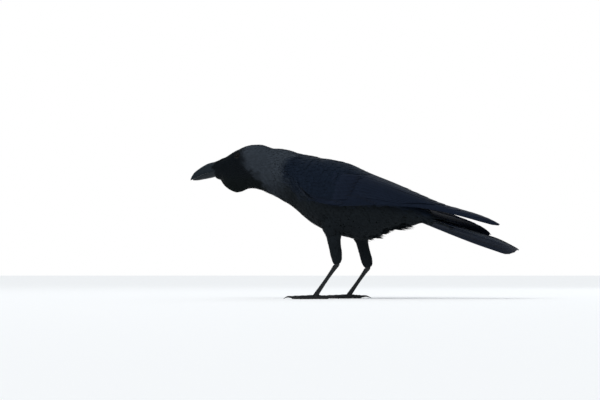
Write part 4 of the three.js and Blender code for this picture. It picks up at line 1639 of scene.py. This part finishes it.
# A curve from one measure to another, both in millimetres, as a node.
def curveNode(tree, value, pairs):
    pairs = sorted(pairs)
    xs = [p[0] for p in pairs]
    ys = [p[1] for p in pairs]
    low, high = min(ys), max(ys)
    scaled = addNode(tree, "MapRange", {}, {"Value": value, "From Min": xs[0] * mm, "From Max": xs[-1] * mm})
    curve = addNode(tree, "FloatCurve", {}, {"Value": scaled.outputs["Result"]})
    points = curve.mapping.curves[0].points
    while len(points) < len(pairs):
        points.new(0.5, 0.5)
    for point, x, y in zip(points, xs, ys):
        point.location = ((x - xs[0]) / (xs[-1] - xs[0]), (y - low) / (high - low))
        point.handle_type = "AUTO"
    curve.mapping.update()
    back = addNode(tree, "MapRange", {}, {"Value": curve.outputs[0], "To Min": low * mm, "To Max": high * mm})
    return back.outputs["Result"]


def newGroup(name, takes, gives):
    tree = bpy.data.node_groups.new(name, "ShaderNodeTree")
    for label, kind, value in takes:
        socket = tree.interface.new_socket(name=label, in_out="INPUT", socket_type="NodeSocket" + kind)
        if value is not None:
            socket.default_value = value
    for label, kind in gives:
        tree.interface.new_socket(name=label, in_out="OUTPUT", socket_type="NodeSocket" + kind)
    return tree, tree.nodes.new("NodeGroupInput").outputs, tree.nodes.new("NodeGroupOutput").inputs


plumage = {
    "faceBlack": (0.0042, 0.0062, 0.0084),
    "throatBlack": (0.0040, 0.0066, 0.0070),
    "ashGrey": (0.033, 0.041, 0.052),
    "charcoal": (0.0085, 0.0115, 0.0140),
    "blueBlack": (0.0062, 0.0108, 0.0205),
    "maskEdge": ((190, -136), (181, -137.5), (174.6, -136.5), (166.8, -135), (158.2, -131), (150.3, -121),
                 (142.4, -112.5), (128, -104)),
    "capeEdge": ((183, -50), (176, -54), (173, -61), (170, -75), (163, -84.4), (154.6, -86.9), (144.8, -83),
                 (130, -74)),
    "flankEdge": ((-85, 142), (-60, 125), (-40, 118), (0, 115), (60, 108), (95, 99)),
}


# Colours of the coat by place: black mask, ash collar, charcoal underside and glossy blue-black back.
def buildMarkings():
    tree, takes, gives = newGroup("crowMarkings", [("Place", "Vector", None)],
                                  [("Colour", "Color"), ("Gloss", "Float")])
    noise = addNode(tree, "TexNoise", {}, {"Vector": takes["Place"], "Scale": 160.0, "Detail": 3.0})
    stir = maths(tree, "MULTIPLY", maths(tree, "SUBTRACT", noise.outputs["Fac"], 0.5), 0.014)
    split = addNode(tree, "SeparateXYZ", {}, {"Vector": takes["Place"]})
    x = maths(tree, "ADD", split.outputs["X"], stir)
    z = maths(tree, "ADD", split.outputs["Z"], stir)
    mask = maths(tree, "SUBTRACT", x, curveNode(tree, z, plumage["maskEdge"]))
    cape = maths(tree, "SUBTRACT", x, curveNode(tree, z, plumage["capeEdge"]))
    flank = maths(tree, "SUBTRACT", z, curveNode(tree, x, plumage["flankEdge"]))
    behindMask = stepUp(tree, mask, -0.005, 0.009)
    behindCape = stepUp(tree, cape, -0.007, 0.007)
    overFlank = stepUp(tree, flank, -0.007, 0.004)
    # The collar turns from ash grey to charcoal lower down and further back.
    low = stepUp(tree, z, 0.155, 0.128)
    far = stepUp(tree, x, -0.118, -0.072)
    darkerLowAndBack = maths(tree, "MULTIPLY", low, far)
    throat = mixColour(tree, stepUp(tree, z, 0.152, 0.138), plumage["faceBlack"], plumage["throatBlack"])
    collar = mixColour(tree, darkerLowAndBack, plumage["ashGrey"], plumage["charcoal"])
    fore = mixColour(tree, behindMask, throat, collar)
    hind = mixColour(tree, overFlank, plumage["charcoal"], plumage["blueBlack"])
    colour = mixColour(tree, behindCape, fore, hind)
    tree.links.new(colour, gives["Colour"])
    grey = maths(tree, "MULTIPLY", behindMask, maths(tree, "SUBTRACT", 1.0, behindCape))
    matte = maths(tree, "MAXIMUM", grey, maths(tree, "SUBTRACT", 1.0, overFlank))
    tree.links.new(maths(tree, "SUBTRACT", 1.0, matte), gives["Gloss"])
    return tree


# Barbs that slant back from the shaft of each vane.
def buildBarbs():
    tree, takes, gives = newGroup("vaneBarbs", [
        ("Vane", "Vector", None), ("Barbs", "Float", 40.0), ("Slant", "Float", 0.25)],
        [("Height", "Float"), ("Streak", "Float"), ("Shaft", "Float"), ("Tip", "Float")])
    split = addNode(tree, "SeparateXYZ", {}, {"Vector": takes["Vane"]})
    away = maths(tree, "ABSOLUTE", split.outputs["Y"])
    place = maths(tree, "SUBTRACT", split.outputs["X"], maths(tree, "MULTIPLY", away, takes["Slant"]))
    combed = addNode(tree, "CombineXYZ", {}, {
        "X": maths(tree, "MULTIPLY", place, takes["Barbs"]),
        "Y": maths(tree, "MULTIPLY", split.outputs["Y"], 1.2),
        "Z": maths(tree, "MULTIPLY", split.outputs["Z"], 40.0)})
    noise = addNode(tree, "TexNoise", {}, {"Vector": combed.outputs[0], "Scale": 1.0, "Detail": 2.0})
    tree.links.new(noise.outputs["Fac"], gives["Height"])
    tree.links.new(stepUp(tree, noise.outputs["Fac"], 0.35, 0.65), gives["Streak"])
    tree.links.new(stepUp(tree, away, 0.09, 0.03), gives["Shaft"])
    tree.links.new(stepUp(tree, split.outputs["X"], 0.7, 1.0), gives["Tip"])
    return tree


# Scratches, dust and lighter worn ridges of horn and scales.
def buildWear():
    tree, takes, gives = newGroup("hornWear", [
        ("Place", "Vector", None), ("Grain", "Float", 900.0), ("Stretch", "Float", 0.15)],
        [("Height", "Float"), ("Wear", "Float")])
    stretched = addNode(tree, "Mapping", {"vector_type": "POINT"}, {"Vector": takes["Place"]})
    scale = addNode(tree, "CombineXYZ", {}, {"X": takes["Stretch"], "Y": 1.0, "Z": 1.0})
    tree.links.new(scale.outputs[0], stretched.inputs["Scale"])
    fine = addNode(tree, "TexNoise", {},
                   {"Vector": stretched.outputs[0], "Scale": takes["Grain"], "Detail": 4.0})
    broad = addNode(tree, "TexNoise", {}, {"Vector": takes["Place"], "Scale": 130.0, "Detail": 3.0})
    tree.links.new(fine.outputs["Fac"], gives["Height"])
    both = maths(tree, "MULTIPLY", stepUp(tree, fine.outputs["Fac"], 0.4, 0.75), broad.outputs["Fac"])
    tree.links.new(both, gives["Wear"])
    return tree


markings = buildMarkings()
barbs = buildBarbs()
wear = buildWear()


def newMaterial(name, **values):
    made = bpy.data.materials.new(name)
    made.use_nodes = True
    tree = made.node_tree
    shader = tree.nodes["Principled BSDF"]
    for label, value in values.items():
        shader.inputs[label.replace("_", " ")].default_value = value
    return made, tree, shader


def useGroup(tree, group, **inputs):
    made = tree.nodes.new("ShaderNodeGroup")
    made.node_tree = group
    for name, value in inputs.items():
        if isinstance(value, bpy.types.NodeSocket):
            tree.links.new(value, made.inputs[name])
        else:
            made.inputs[name].default_value = value
    return made.outputs


def attribute(tree, name):
    made = addNode(tree, "Attribute", {"attribute_type": "GEOMETRY", "attribute_name": name})
    return made.outputs["Vector"]


def coatMaterial(name, barbCount):
    made, tree, shader = newMaterial(name, Specular_IOR_Level=0.06)
    colours = useGroup(tree, markings, Place=attribute(tree, "place"))
    vane = useGroup(tree, barbs, Vane=attribute(tree, "vane"), Barbs=barbCount)
    split = addNode(tree, "SeparateXYZ", {}, {"Vector": attribute(tree, "vane")})
    bright = growing(tree, 0.72, vane["Streak"], 0.36)
    bright = maths(tree, "MULTIPLY", bright, growing(tree, 0.92, split.outputs["Z"], 0.16))
    bright = maths(tree, "MULTIPLY", bright, growing(tree, 0.95, vane["Tip"], 0.12))
    scaled = addNode(tree, "VectorMath", {"operation": "SCALE"}, {0: colours["Colour"], "Scale": bright})
    tree.links.new(scaled.outputs[0], shader.inputs["Base Color"])
    rough = maths(tree, "SUBTRACT", 0.78, maths(tree, "MULTIPLY", colours["Gloss"], 0.30))
    tree.links.new(rough, shader.inputs["Roughness"])
    tree.links.new(maths(tree, "MULTIPLY", colours["Gloss"], 0.16), shader.inputs["Metallic"])
    bump = addNode(tree, "Bump", {}, {"Height": vane["Height"], "Strength": 0.35, "Distance": 0.0003})
    tree.links.new(bump.outputs[0], shader.inputs["Normal"])
    return made


flightTones = {
    "dark": (0.0050, 0.0078, 0.0150),
    "pale": (0.0085, 0.0135, 0.0270),
    # edge: a painted sheen, a lighter blue that stands in for the gloss along the vanes' edges
    "edge": (0.013, 0.020, 0.038),
    "shaft": (0.006, 0.006, 0.007),
}


def flightMaterial(name):
    made, tree, shader = newMaterial(name, Specular_IOR_Level=0.08)
    vane = useGroup(tree, barbs, Vane=attribute(tree, "vane"), Barbs=150.0, Slant=0.12)
    split = addNode(tree, "SeparateXYZ", {}, {"Vector": attribute(tree, "vane")})
    body = mixColour(tree, vane["Streak"], flightTones["dark"], flightTones["pale"])
    # Painted sheen: the outer edges of each vane are mixed halfway towards the lighter blue edge tone.
    edge = stepUp(tree, maths(tree, "ABSOLUTE", split.outputs["Y"]), 0.78, 1.0)
    body = mixColour(tree, maths(tree, "MULTIPLY", edge, 0.5), body, flightTones["edge"])
    body = mixColour(tree, vane["Shaft"], body, flightTones["shaft"])
    tree.links.new(body, shader.inputs["Base Color"])
    tree.links.new(growing(tree, 0.40, split.outputs["Z"], 0.12), shader.inputs["Roughness"])
    shader.inputs["Metallic"].default_value = 0.2
    bump = addNode(tree, "Bump", {}, {"Height": vane["Height"], "Strength": 0.3, "Distance": 0.0003})
    tree.links.new(bump.outputs[0], shader.inputs["Normal"])
    return made


def skinMaterial():
    made, tree, shader = newMaterial("downySkin", Roughness=0.9)
    place = addNode(tree, "TexCoord").outputs["Object"]
    colours = useGroup(tree, markings, Place=place)
    scaled = addNode(tree, "VectorMath", {"operation": "SCALE"}, {0: colours["Colour"], "Scale": 0.8})
    tree.links.new(scaled.outputs[0], shader.inputs["Base Color"])
    noise = addNode(tree, "TexNoise", {}, {"Vector": place, "Scale": 1400.0, "Detail": 3.0})
    bump = addNode(tree, "Bump", {}, {"Height": noise.outputs["Fac"], "Strength": 0.6, "Distance": 0.0006})
    tree.links.new(bump.outputs[0], shader.inputs["Normal"])
    return made


horns = {
    "billHorn": {"dark": (0.0022, 0.0056, 0.0090), "pale": (0.007, 0.014, 0.022),
                 "rough": 0.32, "grain": 1400.0, "stretch": 0.10, "gleam": 0.25},
    "legScales": {"dark": (0.007, 0.008, 0.009), "pale": (0.024, 0.026, 0.029),
                  "rough": 0.46, "grain": 1600.0, "stretch": 1.0, "gleam": 0.25},
    "clawHorn": {"dark": (0.008, 0.008, 0.009), "pale": (0.030, 0.028, 0.026),
                 "rough": 0.3, "grain": 1600.0, "stretch": 0.4, "gleam": 0.25},
    "lidSkin": {"dark": (0.0035, 0.0045, 0.0055), "pale": (0.008, 0.009, 0.011),
                "rough": 0.6, "grain": 2600.0, "stretch": 1.0, "gleam": 0.08},
}


def hornMaterial(name):
    plan = horns[name]
    made, tree, shader = newMaterial(name, Specular_IOR_Level=plan["gleam"])
    place = addNode(tree, "TexCoord").outputs["Object"]
    worn = useGroup(tree, wear, Place=place, Grain=plan["grain"], Stretch=plan["stretch"])
    tree.links.new(mixColour(tree, worn["Wear"], plan["dark"], plan["pale"]), shader.inputs["Base Color"])
    tree.links.new(growing(tree, plan["rough"], worn["Height"], 0.2), shader.inputs["Roughness"])
    bump = addNode(tree, "Bump", {}, {"Height": worn["Height"], "Strength": 0.25, "Distance": 0.0002})
    tree.links.new(bump.outputs[0], shader.inputs["Normal"])
    return made


eyeTones = {
    "irisDark": (0.0025, 0.0015, 0.0011),
    "irisPale": (0.0075, 0.0038, 0.0025),
    "irisRim": (0.004, 0.003, 0.003),
    "pupil": (0.001, 0.001, 0.001),
}


def eyeMaterial():
    made, tree, shader = newMaterial("darkEye", Roughness=0.04, Specular_IOR_Level=0.16)
    place = addNode(tree, "TexCoord").outputs["Object"]
    split = addNode(tree, "SeparateXYZ", {}, {"Vector": place})
    mirrored = addNode(tree, "CombineXYZ", {}, {"X": split.outputs["X"], "Z": split.outputs["Z"],
                                                "Y": maths(tree, "ABSOLUTE", split.outputs["Y"])})
    gaze = Vector(eyePlace["gaze"]).normalized()
    offset = addNode(tree, "VectorMath", {"operation": "SUBTRACT"},
                     {0: mirrored.outputs[0], 1: tuple(eyePlace[axis] * mm for axis in "xyz")})
    unit = addNode(tree, "VectorMath", {"operation": "NORMALIZE"}, {0: offset.outputs[0]})
    facing = addNode(tree, "VectorMath", {"operation": "DOT_PRODUCT"}, {0: unit.outputs[0], 1: tuple(gaze)})
    pupil = stepUp(tree, facing.outputs["Value"], 0.925, 0.94)
    rim = stepUp(tree, facing.outputs["Value"], 0.80, 0.74)
    rays = addNode(tree, "TexNoise", {}, {"Vector": unit.outputs[0], "Scale": 14.0, "Detail": 3.0})
    iris = mixColour(tree, rays.outputs["Fac"], eyeTones["irisDark"], eyeTones["irisPale"])
    iris = mixColour(tree, rim, iris, eyeTones["irisRim"])
    tree.links.new(mixColour(tree, pupil, iris, eyeTones["pupil"]), shader.inputs["Base Color"])
    return made


def finish(made, material):
    made.data.materials.clear()
    made.data.materials.append(material)
    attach(made, "root")


fineCoat = coatMaterial("fineCoat", 14.0)
broadCoat = coatMaterial("broadCoat", 30.0)
flightVanes = flightMaterial("flightVanes")
billHorn = hornMaterial("billHorn")
legScales = hornMaterial("legScales")
clawHorn = hornMaterial("clawHorn")
lidSkin = hornMaterial("lidSkin")
eyeGlass = eyeMaterial()

fineNames = ("faceFeathers", "billBristles", "eyeFeathers")
for name, made in coat.items():
    finish(made, fineCoat if name in fineNames else broadCoat)
for made in (wingLeft, wingRight, tailFeathers):
    finish(made, flightVanes)
finish(skin, skinMaterial())
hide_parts("head", "neck", "trunk", "shank_left", "shank_right")
for made in (billUpper, billLower):
    finish(made, billHorn)
for made in (eyeLeft, eyeRight):
    finish(made, eyeGlass)
for made in (lidsLeft, lidsRight):
    finish(made, lidSkin)
for made in (legLeft, legRight):
    finish(made, legScales)
for made in clawsLeft + clawsRight:
    finish(made, clawHorn)

bpy.ops.object.select_all(action="DESELECT")
for made in list(coat.values()) + [wingLeft, wingRight, tailFeathers]:
    made.select_set(True)
    bpy.context.view_layer.objects.active = made
bpy.ops.object.shade_smooth_by_angle(angle=math.radians(50))
bpy.ops.object.select_all(action="DESELECT")
print("finishes applied")
